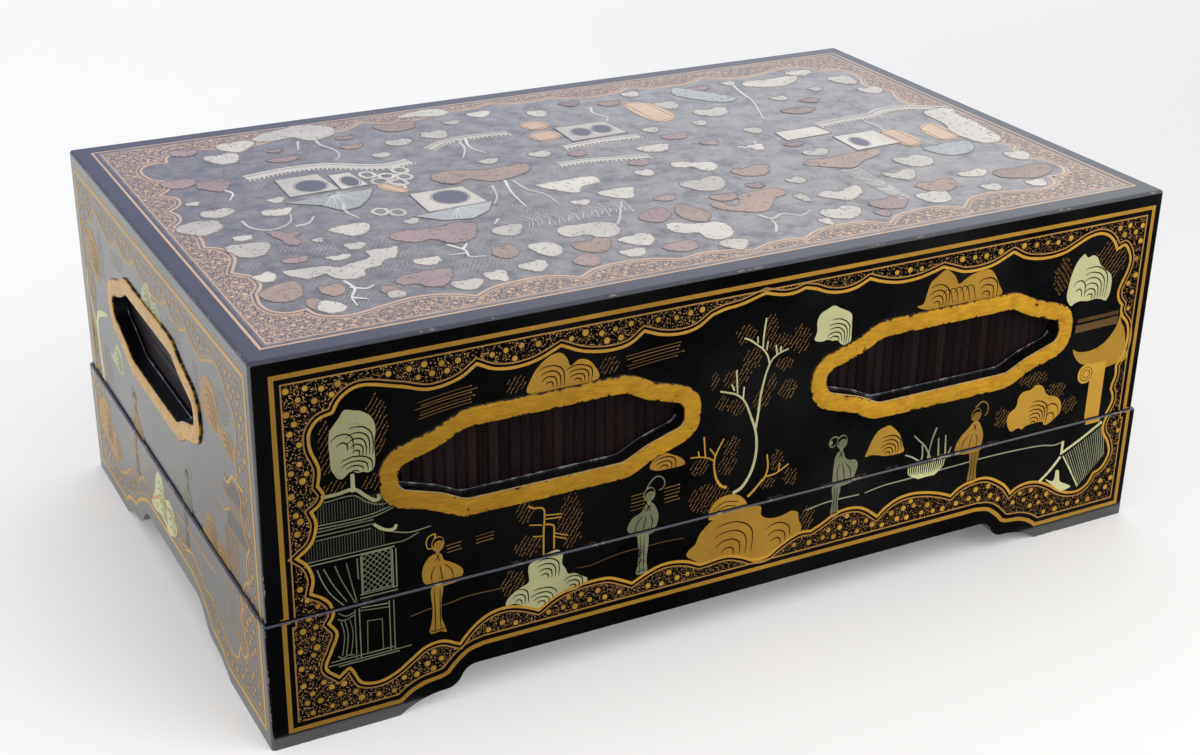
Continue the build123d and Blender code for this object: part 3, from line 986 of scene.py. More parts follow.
def end_scene(sheet, start, way):
    """Garden of an end, from left to right on the left end and the other way round on the right."""
    pale, gold = "pale", "gold"
    sheet.put(start + 5 * way, way)
    crag(sheet, pale)
    sheet.put(start, way)
    lady(sheet, pale, *ladies["second"])
    lobed(
        sheet, gold,
        [(194, 120), (196, 128), (198, 132), (204, 135), (210, 135), (215, 131), (217, 122), (219, 120),
         (228, 121.5), (234, 119), (236, 113), (230, 111), (222, 113.5), (214, 115), (205, 114), (196, 117)],
        [(206, 116, 8, 14, 5), (226, 112, 6, 7, 3)],
    )
    hatch(sheet, 217, 232, 123, 137)
    hatch(sheet, 186, 194, 124, 136)
    lobed(
        sheet, pale,
        [(102, 30), (106, 36), (110, 41), (113, 48), (118, 53), (124, 52), (127, 44), (132, 46), (137, 45),
         (141, 41), (142, 35), (138, 31), (133, 29), (128, 27), (123, 30), (115, 31), (108, 29)],
        [(119, 32, 8, 16, 5), (134, 30, 6, 12, 3)],
    )
    lobed(
        sheet, gold,
        [(12, 30), (12, 38), (15, 43), (20, 46), (27, 49), (33, 47), (36, 40), (42, 37), (48, 33), (52, 29),
         (50, 25.6), (42, 23), (34, 23), (26, 25.4), (17, 27)],
        [(26, 27, 8, 16, 5), (42, 24, 6, 9, 3)],
    )
    lobed(
        sheet, gold,
        [(19, 128), (21, 132), (28, 134), (34, 131), (38, 127), (39, 119), (37, 111), (31, 110), (24, 113),
         (20, 116), (18, 122)],
        [(29, 114, 7, 14, 5)],
    )
    hatch(sheet, 40, 49, 116, 138)
    sheet.line(pale, [(24, 57), (23, 68), (22, 80), (25, 90), (33, 94), (45, 97.6)], 6.4, 1.8)
    sheet.line(pale, [(22, 82), (15, 91), (10, 101), (14, 110)], 3.6, 1.4)
    hatch(sheet, 30, 44, 62, 80)
    hatch(sheet, 14, 28, 96, 108)
    lobed(
        sheet, pale,
        [(44, 78), (50, 81), (55, 87), (61, 89), (65, 86), (67, 79), (62, 75), (52, 76)],
        [(58, 76, 6, 9, 4)],
    )
    lobed(
        sheet, gold,
        [(181, 57), (186, 61), (188, 68), (193, 70), (198, 69), (201, 65), (206, 63), (213, 64), (216, 60),
         (216, 56.6)],
        [(194, 57, 7, 9, 4), (208, 57, 5, 5, 2)],
    )
    cloud(sheet, "haze", 62, 84, 130, 136, 1.6, 5)
    cloud(sheet, "haze", 150, 172, 132, 138, 1.6, 5)
    lines(
        sheet, gold, 0.7,
        [(58, 46), (74, 45), (90, 46.6), (104, 46)], [(144, 46), (160, 47), (176, 46), (200, 46.6)],
        [(146, 32), (152, 34.6), (161, 37), (171, 36), (179, 33)],
    )
    sheet.put(start + 13 * way, way)
    lady(sheet, gold, *ladies["first"])
    sheet.put(start + 267 * way, -way)
    summer_house(sheet, gold, "fine_gold", "dim_gold")
    sheet.put(0)


# Smaller stones of the top: paint, then the place and the half sizes of each
stones = {
    "cream": [
        (36.5, 117, 4.6, 3.8), (63, 102, 3, 3), (74.5, 89.5, 4.6, 4.6), (64, 80.5, 5.3, 3.5),
        (94, 61.5, 6, 4.7),
        (99, 33, 6.7, 6), (112.5, 36, 5, 7), (130, 38.7, 6.3, 6), (105.5, 106, 3.6, 3.6), (172, 35, 6.2, 5.2),
        (180.5, 46.5, 7.8, 7), (179.5, 96, 4.7, 3.7), (279, 80.8, 4.8, 4.8), (269, 60, 3, 5.8),
        (262, 31, 3.2, 5),
        (274, 37, 9.4, 8), (322, 36.4, 8.2, 7.6), (352.6, 36, 5, 5), (374.6, 32, 5.4, 5),
        (309, 109.5, 7.2, 5.2),
        (343, 80, 9.4, 8.4), (357.4, 54.5, 8.2, 5), (36, 149, 7.8, 6), (63, 154, 4.4, 3.8), (59, 140, 7.4, 5),
        (30, 164.5, 3.2, 3), (59.6, 216, 8, 8), (69.6, 231, 9, 8), (126, 191, 4.6, 4.4), (140, 205, 6.6, 5),
        (160, 209, 7.4, 7), (166.5, 162.5, 5.6, 3.8), (192.5, 162, 6.4, 4.8), (192, 229, 6.4, 5),
        (174.5, 222.5, 4.6, 4), (244, 147, 8.8, 5.4), (297, 184, 10, 7), (282.5, 171.5, 4.3, 4.4),
        (283, 203, 6, 7),
        (352, 215, 16, 8), (388, 203, 7, 9), (374, 224, 7.4, 5), (275, 227, 5.2, 5), (391, 182, 6.4, 6.4),
        (223, 118, 4.6, 5), (256, 172, 4.4, 4), (340, 190, 5, 4.4), (366, 196, 4.4, 4), (218, 218, 5, 6),
        (300, 150, 4.6, 5.4), (392, 66, 6, 7), (330, 223, 4.4, 3.8), (288, 128, 4.4, 4.8),
        (298, 96, 3.6, 3.2),
    ],
    "russet": [
        (48, 85, 6, 3.5), (193, 32.5, 8, 6.4), (214.6, 85.3, 5.4, 3.9), (259, 82.5, 4.7, 3.9),
        (289.6, 29, 3.6, 4.5),
        (300, 38.5, 9.6, 7.4), (32, 192, 8, 7), (45, 184, 7.4, 9), (46, 232, 6.6, 5.4), (84, 217.5, 4.2, 3),
        (84, 204, 8, 3.8), (208, 155, 4.8, 3.8), (262, 158, 7, 4.6), (272, 143, 5, 4), (352, 180, 5.4, 4),
        (240, 226, 6, 4.6), (312, 222, 6, 4.2), (120, 222, 5, 3.6), (228, 132, 6, 4.4), (306, 124, 5, 3.4),
    ],
    "umber": [
        (50, 50, 5, 6.5), (161, 48.5, 8.6, 8), (238.5, 75.4, 6.6, 4.8), (268, 100, 10, 6.8),
        (332, 48, 10.4, 7.6),
        (148, 228, 10.4, 7), (338, 168, 9, 5), (258, 218, 6.4, 4.4), (118, 208, 5.6, 3.8), (380, 46, 15, 8),
    ],
}
# Larger stones, by the corners of their outlines
slabs = {
    "cream": [
        [(26, 106), (27, 110.5), (37, 110.5), (44, 109), (43, 102), (40, 97), (36, 94.5), (30, 96)],
        [(70, 110), (73, 113), (80, 114), (87, 113.5), (88.5, 110), (86, 104), (82, 100), (77, 100),
         (74, 104)],
        [(39, 76), (44, 76), (57, 74), (60, 71), (66, 73), (75, 76), (75, 82), (79, 83), (85, 82), (89, 83),
         (88, 77), (84, 71), (80, 70), (75, 65), (69, 64), (67, 59), (64, 57), (58, 57.5), (54, 62), (53, 66),
         (46, 64), (42, 67),
         (39, 72)],
        [(26, 75), (30, 77), (34, 78.5), (36, 75), (35, 71), (32, 67.5), (28, 69)],
        [(38, 34), (41, 41), (44, 42), (50, 33), (47, 29), (43, 28.5)],
        [(136, 59), (138, 61), (147, 60), (148.5, 57), (147, 48), (142, 44.5), (139, 46), (136.5, 52)],
        [(66.5, 33), (67, 38), (69, 40), (74, 38), (74, 34), (71, 32)],
        [(130, 80), (133, 84), (145, 84.4), (144, 79), (138, 72.4), (133, 74)],
        [(154, 69), (158, 73.6), (166, 73), (177, 71), (181, 66), (177, 56), (168, 54), (164, 60), (156, 61)],
        [(191, 104), (200, 105.4), (209, 104), (206, 97), (202, 91), (197, 93), (192, 99)],
        [(171, 124), (184, 125), (200, 124), (199, 116), (190, 114), (184, 107), (179, 111)],
        [(228.5, 98), (231, 101), (240, 100.5), (250, 101.5), (250.8, 97), (249, 91), (245, 86), (240, 84),
         (233, 87)],
        [(238, 121), (240, 125), (245, 125), (250, 121.5), (256, 120), (258.5, 116), (256, 110), (252, 107.5),
         (248, 110), (246, 116), (241, 117)],
        [(197, 50), (199, 57), (204, 58), (209, 53.5), (214, 52), (220, 51), (222.5, 45), (221, 38),
         (216, 33), (209, 32.5), (206, 37), (206, 43), (201, 44)],
        [(207, 27), (209, 30.5), (215, 31), (221, 28), (218, 22), (213, 18), (209, 22)],
        [(276, 60), (280, 63.5), (284, 63), (288, 60), (293, 63), (300, 63.5), (298, 57), (292, 51),
         (286, 48.3), (281, 52)],
        [(318, 71), (320, 73), (325, 70), (331, 73), (336, 72), (333, 65), (327, 59), (321, 63)],
        [(14, 137), (20, 143), (32, 142), (34, 135), (29, 128), (22, 126), (18, 130)],
        [(79, 236), (84, 243), (96, 247), (106, 250), (118, 243), (120, 234), (112, 226), (103, 225),
         (97, 233), (88, 231)],
        [(153, 240), (163, 246), (176, 246), (180, 238), (172, 234), (162, 238)],
        [(392, 140), (409, 140), (405, 128), (406, 118), (404, 104), (402, 92), (396, 86), (388, 88),
         (385, 98), (384, 108), (389, 118), (390, 130)],
    ],
    "russet": [
        [(47, 120), (52, 119), (55, 115), (59, 116), (59, 112), (56, 109), (57, 104), (54, 100), (51, 101),
         (49, 109)],
        [(90, 90), (91, 95), (96, 97), (106, 96), (112, 95), (121, 97), (128, 92), (126, 86), (122, 78),
         (117, 75), (110, 75.5), (105, 83), (98, 82.5), (93, 86)],
        [(74, 46), (77, 51.5), (84, 53), (92, 53), (99, 51), (98, 46), (94, 39), (89, 35.5), (84, 37),
         (81, 42), (76, 43)],
        [(145, 36), (149, 41), (154, 42), (158, 38), (156, 32), (151, 28.5), (147, 31)],
        [(192, 68), (196, 73), (203, 76.5), (208, 75), (208, 68), (204, 63), (199, 60), (194, 63)],
    ],
    "umber": [
        [(23, 58), (26, 61), (32, 64), (40, 65), (41, 61), (40, 55), (38, 50), (33, 46.5), (28, 47),
         (24, 52)],
        [(36, 40), (38, 46), (42, 45), (44, 42), (41, 41), (38, 34)],
        [(66, 42), (69, 46), (72, 44), (74, 41), (74, 38), (69, 40), (67, 38)],
        [(120, 58), (122, 63), (124, 66), (127, 63), (129, 65), (131, 65.5), (132, 60), (130, 53),
         (124, 50.5), (121, 53)],
        [(209, 64), (211, 70), (214, 75), (219, 75), (221, 68), (223, 62), (220, 56), (216, 53), (211, 56)],
        [(228, 66), (229, 71), (233, 72), (236, 64), (240, 66), (246, 75), (252, 76.5), (264, 76),
         (267.5, 72), (265, 67), (258, 65), (254, 60), (248, 54), (242, 52.6), (236, 57), (231, 60)],
        [(294, 98), (299, 101.5), (310, 101), (325, 102), (338, 101), (334, 95), (322, 90), (312, 84),
         (304, 88)],
        [(133, 150), (137, 157), (148, 158), (158, 153), (180, 153), (180, 146), (168, 138), (156, 137),
         (148, 144), (140, 141)],
    ],
    "slate": [
        [(294, 218), (300, 228), (310, 218), (320, 198), (310, 196), (300, 206)],
        [(357, 93), (364, 95), (384, 94), (382, 86), (374, 79), (362, 80)],
    ],
}


def slab(sheet, marks_and_rims, paint, outline, step=1.2):
    """Raised stone or leaf with an uneven dark rim, painted as the shade of its raised edge, and short marks.
    """
    points = soft_line(outline, closed=True, step=step)
    points = [p + Vector((sheet.shake(0.4), sheet.shake(0.4))) for p in points]
    sheet.fill(paint, points)
    # Painted shade: a dark line round the stone stands in for the shading of its raised edge.
    marks_and_rims.stroke("mark_and_rim_shade", shifted(points, 0.2 if area(points) > 0 else -0.2), 0.34, closed=True)
    xs, ys = [p[0] for p in points], [p[1] for p in points]
    low, high = (min(xs), min(ys)), (max(xs), max(ys))
    for mark in range(int((high[0] - low[0]) * (high[1] - low[1]) / 16)):
        line = [Vector((marks_and_rims.hand.uniform(low[0], high[0]), marks_and_rims.hand.uniform(low[1], high[1])))]
        way = marks_and_rims.hand.uniform(0, math.tau)
        for part in range(2):
            way += marks_and_rims.hand.uniform(-0.8, 0.8)
            line.append(line[-1] + Vector((math.cos(way), math.sin(way))) * marks_and_rims.hand.uniform(0.5, 1.1))
        if all(inside(p, points) for p in line):
            marks_and_rims.stroke("mark_and_rim_shade", line, 0.24, 0.16)


def stone(sheet, marks_and_rims, paint, x, y, half_width, half_height):
    """Stone with an uneven flat top and a rounded foot."""
    cup = [(-1, 0.5), (-0.7, 0.85), (0, 0.75), (0.6, 0.9), (1, 0.55), (0.95, 0), (0.6, -0.65), (0, -1),
           (-0.6, -0.7), (-0.95, -0.1)]
    cup = [(px + sheet.shake(0.1), py + sheet.shake(0.1)) for px, py in cup]
    slab(sheet, marks_and_rims, paint, [(x + half_width * px, y + half_height * py) for px, py in cup])


def hall(sheet, marks_and_rims, left, low, width, height, windows):
    """Garden hall on the top: pale wall with round windows under a long swept roof."""
    wall = [(left, low), (left + width, low + 1), (left + width - 2, low + height), (left + 1, low + height)]
    sheet.fill("cream", wall)
    marks_and_rims.stroke("mark_and_rim_shade", wall, 0.4, closed=True)
    for x, y, across, tall in windows:
        ring = [Vector(p) for p in oval(x, y, across, tall, 20)]
        marks_and_rims.fill("window", ring)
        marks_and_rims.stroke("mark_and_rim_shade", shifted(ring, -0.7), 0.35, closed=True)


def long_roof(sheet, marks_and_rims, points, width):
    """Swept roof beam with its tile ends."""
    line = soft_line(points, step=2.2)
    sheet.stroke("cream", line, width, width * 1.15)
    marks_and_rims.stroke("mark_and_rim_shade", shifted(line, 0.16 * width, closed=False), 0.35)
    eaves = shifted(line, -0.5 * width - 1.2, closed=False)
    for point in even_line(eaves, 1.9, closed=False):
        sheet.stroke("cream", [(point[0], point[1] - 1.2), (point[0] + 0.3, point[1] + 1)], 0.9)


def fan_roof(sheet, marks_and_rims, outline, top):
    """Grey-green roof in slanting courses."""
    sheet.fill("slate", outline)
    marks_and_rims.stroke("mark_and_rim_shade", outline, 0.4, closed=True)
    for a, b in zip(outline, outline[1:]):
        for t in (0.2, 0.4, 0.6, 0.8):
            foot = Vector(a).lerp(Vector(b), t)
            marks_and_rims.stroke("silver", [foot, foot.lerp(Vector(top), 0.9)], 0.36)


def top_scene(sheet, marks_and_rims, film):
    """Courtyard of stones, halls and trees on the top, seen from the front."""
    for paint, places in stones.items():
        for place in places:
            stone(sheet, marks_and_rims, paint, *place)
    for paint, outlines in slabs.items():
        for outline in outlines:
            slab(sheet, marks_and_rims, paint, outline)

    hall(sheet, marks_and_rims, 69.5, 155, 23, 24, [(82.5, 165, 6.8, 6.8)])
    hall(sheet, marks_and_rims, 93, 155, 13, 20, [(100, 163.4, 3.6, 6.2)])
    hall(sheet, marks_and_rims, 116, 113, 28, 24, [(131.6, 126, 7.8, 8)])
    hall(sheet, marks_and_rims, 214, 172, 30, 22, [(224, 183, 4.4, 5.2), (235, 183, 4.4, 5.2)])
    hall(sheet, marks_and_rims, 328, 104, 26, 22, [(336, 114, 3.6, 6.4)])
    hall(sheet, marks_and_rims, 306, 130, 26, 13, [])
    long_roof(sheet, marks_and_rims, [(60, 187), (80, 190), (98, 188), (112, 180), (122, 176), (134, 178)], 6)
    long_roof(sheet, marks_and_rims, [(148, 190), (158, 197), (172, 199), (192, 197)], 4.4)
    long_roof(sheet, marks_and_rims, [(193, 145), (206, 145), (220, 142), (236, 138)], 4.2)
    long_roof(sheet, marks_and_rims, [(332, 144), (348, 146), (366, 147), (374, 151), (392, 149), (408, 138)], 5.6)
    long_roof(sheet, marks_and_rims, [(206, 166), (226, 168), (246, 166)], 4)
    fan_roof(sheet, marks_and_rims, [(65, 149), (106, 151), (100, 140), (92, 131), (84, 130), (78, 140)], (88, 152))
    fan_roof(sheet, marks_and_rims, [(108, 111), (146, 114), (140, 104), (130, 98), (118, 101)], (130, 114))
    for outline in (
        [(108, 152), (113, 155), (119, 141), (115, 140)],
        [(202, 206), (213, 208), (214, 197), (204, 196)],
        [(200, 190), (212, 191), (212, 180), (200, 179)],
        [(264, 214), (274, 212), (276, 184), (265, 182)],
        [(354, 122), (362, 123), (362, 100), (354, 99)],
        [(374, 118), (384, 124), (384, 101), (374, 100)],
    ):
        sheet.soft("apricot", outline)
        marks_and_rims.stroke("mark_and_rim_shade", outline, 0.35, closed=True)

    boughs = [
        [(42, 136), (43, 127), (48, 121.5), (54, 122), (60, 127), (63, 136)],
        [(60, 121), (66, 122), (71, 129)], [(87, 138), (85, 128), (87, 119)],
        [(57, 57), (58, 48), (54, 40), (53, 32)], [(54, 40), (59, 36)], [(57, 50), (62, 46), (66, 48)],
        [(108, 75), (112, 66), (111, 59), (117, 57)], [(112, 68), (116, 73)], [(112, 63), (104, 64)],
        [(154, 132), (150, 118), (145, 110)], [(162, 136), (158, 120), (156, 102)],
        [(165, 134), (166, 120), (170, 112), (170, 98)], [(139, 93), (135, 88)],
        [(47, 176), (49, 170), (45, 162)], [(106, 226), (106, 216), (109, 208), (108, 198), (104, 193)],
        [(98, 226), (94, 214)], [(166, 197), (164, 184), (158, 172)], [(170, 197), (167, 184), (170, 174)],
        [(331, 222), (327, 205), (325, 192), (319, 176), (314, 164)], [(280, 132), (286, 128), (292, 136)],
        [(240, 50), (243, 44), (250, 47), (256, 42), (264, 46)], [(236, 30), (240, 36), (242, 43)],
        [(357, 140), (358, 130), (356, 122)], [(176, 60), (184, 70), (190, 80), (196, 90)],
        [(246, 216), (243, 207), (246, 198), (242, 192)],
    ]
    for bough in boughs:
        sheet.line("silver", bough, 1.5, 0.6)
    for index in range(24):
        level = 40 + index * 1.8
        half = 3 + 0.1 * index
        sheet.line("silver", [(309 - half, level + 1.6), (309, level), (309 + half, level + 1.8)], 0.5)
    for index in range(22):
        at = 146 + index * 2.3
        sheet.line("silver", [(at, 78 + sheet.shake(2)), (at + 2 + sheet.shake(1), 84),
                              (at + sheet.shake(3), 91)], 0.4, 0.2)
    for x, y in ((110, 168), (117, 163), (112, 158), (119, 153), (124, 159), (116, 148), (125, 168),
                 (98, 122), (104, 118)):
        ring = [Vector(p) + Vector((sheet.shake(0.5), sheet.shake(0.5))) for p in oval(x, y, 3.4, 4, 9)]
        sheet.stroke("cream", ring, 1.5, closed=True)
    for x, y, wide, tall in (
        (54, 108, 12, 14), (62, 94, 10, 10), (86, 90, 12, 10), (104, 46, 14, 12), (118, 48, 12, 10),
        (106, 60, 12, 8),
        (144, 70, 14, 10), (150, 100, 16, 12), (184, 58, 12, 12), (222, 102, 12, 10), (232, 50, 14, 10),
        (292, 76, 12, 10), (366, 66, 14, 10), (60, 168, 10, 12), (152, 128, 12, 10), (210, 98, 10, 14),
        (262, 134, 16, 12), (340, 210, 18, 12), (236, 204, 14, 12), (176, 208, 14, 12), (120, 200, 12, 10),
        (322, 176, 14, 12), (384, 168, 14, 12), (54, 200, 10, 10), (92, 96, 8, 10), (88, 74, 8, 8),
        (30, 88, 8, 8), (196, 150, 12, 6), (284, 112, 12, 12), (54, 40, 14, 18), (157, 92, 14, 14),
        (120, 67, 8, 10),
        (94, 74, 12, 8), (134, 70, 10, 8), (46, 58, 8, 10), (108, 52, 12, 10), (140, 36, 8, 12),
        (84, 60, 10, 8),
    ):
        hatch(film, x - wide / 2, x + wide / 2, y - tall / 2, y + tall / 2, "mist")
    for patch in range(46):
        x = film.hand.uniform(36, sheet_length - 36)
        y = film.hand.uniform(34, sheet_depth - 34)
        wide, tall = film.hand.uniform(9, 17), film.hand.uniform(7, 12)
        hatch(film, x - wide / 2, x + wide / 2, y - tall / 2, y + tall / 2, "mist")


# Making pieces of the drawings


def mixed_finish(name):
    """Finish that a piece takes, or an error where the finishes aren't mixed yet."""
    material = bpy.data.materials.get(name)
    if material is None:
        raise RuntimeError("mix the finishes first: " + name + " is missing")
    return material


def linked(name, data):
    """New object in the scene for a mesh, curve, lamp or camera."""
    item = bpy.data.objects.new(name, data)
    bpy.context.scene.collection.objects.link(item)
    return item


def deselect():
    if bpy.context.object and bpy.context.object.mode != "OBJECT":
        bpy.ops.object.mode_set(mode="OBJECT")
    bpy.ops.object.select_all(action="DESELECT")


def activate(piece):
    deselect()
    piece.select_set(True)
    bpy.context.view_layer.objects.active = piece


def apply_modifier(piece, kind, **settings):
    """Adds a modifier, sets it and applies it."""
    activate(piece)
    modifier = piece.modifiers.new(kind.lower(), kind)
    for key, value in settings.items():
        setattr(modifier, key, value)
    bpy.ops.object.modifier_apply(modifier=modifier.name)


def cut_at_seam(piece, keep_above, height):
    """Removes what lies beyond the seam from a flat piece."""
    activate(piece)
    bpy.ops.object.mode_set(mode="EDIT")
    bpy.ops.mesh.select_all(action="SELECT")
    bpy.ops.mesh.bisect(
        plane_co=(0, 0, height), plane_no=(0, 0, 1), clear_inner=keep_above, clear_outer=not keep_above
    )
    bpy.ops.object.mode_set(mode="OBJECT")


def lay(name, shapes, face_name, part, film, lift=0.0):
    """Makes one piece of paint from shapes on a face, cut at the seam, on the cover or the base."""
    face = faces[face_name]
    reach = face.reach if part == "cover" else face.base_reach
    crosses = False
    points, polygons, paints, tones, used = [], [], [], [], []
    for paint, outline, shape, tone in shapes:
        if face_name != "top":
            low, high = min(p[1] for p in outline), max(p[1] for p in outline)
            if (part == "cover" and high <= sheet_seam) or (part == "base" and low >= sheet_seam):
                continue
            crosses = crosses or low < sheet_seam < high
        if paint not in used:
            used.append(paint)
        first = len(points)
        height = paint_lift.get(paint, main_paint_lift) - main_paint_lift + tone_lift * tone
        out = reach + height * 0.001 + lift
        for x, z in outline:
            points.append(face.corner + (x * face.right + z * face.up) * sheet_scale + out * face.out)
        polygons += [[first + index for index in polygon] for polygon in shape]
        paints += [used.index(paint)] * len(shape)
        tones += [tone] * len(outline)
    mesh = bpy.data.meshes.new(name)
    mesh.from_pydata(points, [], polygons)
    mesh.polygons.foreach_set("material_index", paints)
    mesh.attributes.new("tone", "FLOAT", "POINT").data.foreach_set("value", tones)
    for paint in used:
        mesh.materials.append(mixed_finish(paint))
    piece = linked(name, mesh)
    if crosses:
        cut_at_seam(piece, part == "cover", seam + seam_gap if part == "cover" else seam - seam_gap)
    apply_modifier(piece, "SOLIDIFY", thickness=film, offset=1)
    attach(piece, part)


def lay_both(name, shapes, face_name, film):
    """The same drawing on the cover and the base."""
    for part in ("cover", "base"):
        lay(f"{name}_{part}", shapes, face_name, part, film)


def rounded(corners, turn=9):
    """Closed outline through corners, each rounded to its own radius."""
    outline = []
    count = len(corners)
    for index, (x, z, radius) in enumerate(corners):
        here = Vector((x, z))
        back = (Vector(corners[index - 1][:2]) - here).normalized()
        ahead = (Vector(corners[(index + 1) % count][:2]) - here).normalized()
        half_angle = back.angle(ahead) / 2
        reach = radius / math.tan(half_angle)
        centre = here + (back + ahead).normalized() * radius / math.sin(half_angle)
        start, end = here + back * reach - centre, here + ahead * reach - centre
        first = math.atan2(start.y, start.x)
        sweep = (math.atan2(end.y, end.x) - first + math.pi) % math.tau - math.pi
        parts = max(2, round(abs(math.degrees(sweep)) / turn))
        for part in range(parts + 1):
            way = first + sweep * part / parts
            outline.append(centre + radius * Vector((math.cos(way), math.sin(way))))
    return outline


def opening_outline():
    """Cartouche of an opening, in millimetres round its centre, right-handed."""
    top = sizes().opening_height * 500
    tip = sizes().opening_length * 500
    corners = [(tip, 4.4, 4.3), (42.0, top - 4.9, 18), (32.5, top, 10)]
    left = [(-x, z, radius) for x, z, radius in reversed(corners)]
    upper = corners + left
    lower = [(x, -z, radius) for x, z, radius in reversed(upper)]
    return rounded(upper + lower)


class BoxOperator:
    """What every operator of the box shares."""

    bl_options = {"REGISTER", "UNDO"}


class LACQUERED_BOX_OT_frames(BoxOperator, bpy.types.Operator):
    """Carves the gilt frames round the openings"""

    bl_idname = "lacquered_box.frames"
    bl_label = "Gilt frames"

    def execute(self, context):
        for seed, node in enumerate(frame_nodes):
            hand = random.Random(frame_seed + seed)
            low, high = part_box(node)
            face = faces[node.split("_")[1]]
            centre = (low + high) / 2
            centre -= centre.dot(face.out) * face.out
            inner = even_line(opening_outline(), 1.0)
            width = sizes().frame_width * 1000
            waves = [(hand.uniform(0, math.tau), hand.choice((3, 5, 7, 11, 17))) for wave in range(5)]
            points, quads = [], []
            count = len(inner)
            for ring, offset in ((0, -0.05), (1, width - 0.1)):
                for index, (point, normal) in enumerate(zip(inner, normals(inner, True))):
                    way = math.tau * index / count
                    wave = sum(math.sin(turns * way + start) for start, turns in waves) / 5
                    if ring:
                        nick = nick_depth if hand.random() < nick_chance else 0.0
                        move = offset + outer_wave * wave + hand.uniform(-0.05, 0.05) - nick
                    else:
                        move = offset + inner_wave * wave + hand.uniform(-0.03, 0.03)
                    spot = point - normal * move
                    points.append(self.spot(centre, face, spot, face.reach))
            for index in range(count):
                after = (index + 1) % count
                quads.append((index, index + count, after + count, after))
            mesh = bpy.data.meshes.new(node + "_gilt")
            mesh.from_pydata(points, [], quads)
            mesh.materials.append(mixed_finish("gilding"))
            across = mesh.attributes.new("across", "FLOAT", "POINT")
            across.data.foreach_set("value", [0.0] * count + [1.0] * count)
            piece = linked(node + "_gilt", mesh)
            apply_modifier(piece, "SOLIDIFY", thickness=sizes().frame_relief, offset=1)
            apply_modifier(
                piece, "BEVEL", width=frame_edge_bevel, segments=2, limit_method="ANGLE", angle_limit=1.0
            )
            activate(piece)
            bpy.ops.object.shade_smooth_by_angle(angle=0.7)
            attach(piece, "cover")
            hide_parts(node)
            # Black bead at the lower back edge of each opening, with a painted highlight.
            line = [point for point in shifted(inner, 0.25) if point.y < -2.4]
            spots = [self.spot(centre, face, point, face.reach - bead_depth) for point in line]
            self.bead(context, node + "_bead", spots, bead_radius, "glinting_bead", "lacquer")
            # Pale lip along the lower inner edge of each frame, a painted highlight where the edge catches
            # the light.
            line = [point for point in shifted(inner, -0.1) if point.y < -2.0]
            reach = face.reach + sizes().frame_relief - lip_drop
            spots = [self.spot(centre, face, point, reach) for point in line]
            self.bead(context, node + "_lip", spots, lip_radius, "lip_glint", "gilt")
        return {"FINISHED"}

    def spot(self, centre, face, point, reach):
        """Place on a face of a point in millimetres round the centre of an opening."""
        return centre + (point.x * face.right + point.y * face.up) * 0.001 + reach * face.out

    def bead(self, context, name, line, radius, paint, slot):
        """Thin round bead along the lower edge of an opening."""
        curve = bpy.data.curves.new(name, "CURVE")
        curve.dimensions = "3D"
        curve.bevel_depth = radius
        curve.bevel_resolution = 1
        curve.use_fill_caps = True
        line = line[::2] + line[-1:]
        spline = curve.splines.new("POLY")
        spline.points.add(len(line) - 1)
        for point, place in zip(spline.points, line):
            point.co = (*place, 1)
        curve.materials.append(mixed_finish(paint))
        activate(linked(name, curve))
        bpy.ops.object.convert(target="MESH")
        bpy.ops.object.shade_smooth()
        piece = context.object
        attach(piece, "cover")


class LACQUERED_BOX_OT_borders(BoxOperator, bpy.types.Operator):
    """Paints the gilt borders of the sides and the top"""

    bl_idname = "lacquered_box.borders"
    bl_label = "Gilt borders"

    def execute(self, context):
        given = sizes()
        widths = [width / sheet_scale for width in (given.outer_line, given.scallop_line, given.fine_line)]
        for seed, name in enumerate(side_names):
            sheet = Sheet(border_seed + seed)
            if name in ("front", "back"):
                outer = outer_outline(sheet_length, 36, 23.7, 3.4)
            else:
                outer = outer_outline(sheet_depth, 45, 27, 4.6)
            border(sheet, outer, side_scallops(name), ("speckled", "gold", "fine_gold"), 6.6, 1.35, widths)
            lay_both("border_" + name, sheet.shapes, name, given.paint_film)
        sheet = Sheet(top_border_seed)
        left, low = top_line_inset
        right, high = sheet_length - left, sheet_depth - low
        outer = [Vector(p) for p in ((left, low), (right, low), (right, high), (left, high))]
        paints = ("dense_speckled", "rose_gold", "rose_line")
        border(sheet, outer, top_scallops(), paints, 5.6, 1.0, (1.15, widths[1], widths[2] * 1.2))
        lay("border_top", sheet.shapes, "top", "cover", given.paint_film)
        return {"FINISHED"}


class LACQUERED_BOX_OT_sides(BoxOperator, bpy.types.Operator):
    """Paints the gardens on the four sides"""

    bl_idname = "lacquered_box.sides"
    bl_label = "Painted sides"

    def execute(self, context):
        sheets = {name: Sheet(painting_seed + seed) for seed, name in enumerate(side_names)}
        front_scene(sheets["front"])
        sheets["back"].put(sheet_length, -1)
        front_scene(sheets["back"])
        end_scene(sheets["left"], 0, 1)
        end_scene(sheets["right"], sheet_depth, -1)
        for name, sheet in sheets.items():
            lay_both("painting_" + name, sheet.shapes, name, sizes().paint_film)
        return {"FINISHED"}


class LACQUERED_BOX_OT_top(BoxOperator, bpy.types.Operator):
    """Lays the raised stones, halls and trees of the top"""

    bl_idname = "lacquered_box.top"
    bl_label = "Raised work of the top"

    def execute(self, context):
        raised, marks_and_rims, film = (Sheet(top_seed + seed) for seed in range(3))
        top_scene(raised, marks_and_rims, film)
        thick = sizes().inlay_film
        lay("stones_top", raised.shapes, "top", "cover", thick)
        lay("marks_and_rims_top", marks_and_rims.shapes, "top", "cover", mark_and_rim_film, thick)
        lay("foliage_top", film.shapes, "top", "cover", sizes().paint_film)
        return {"FINISHED"}


# Finishes


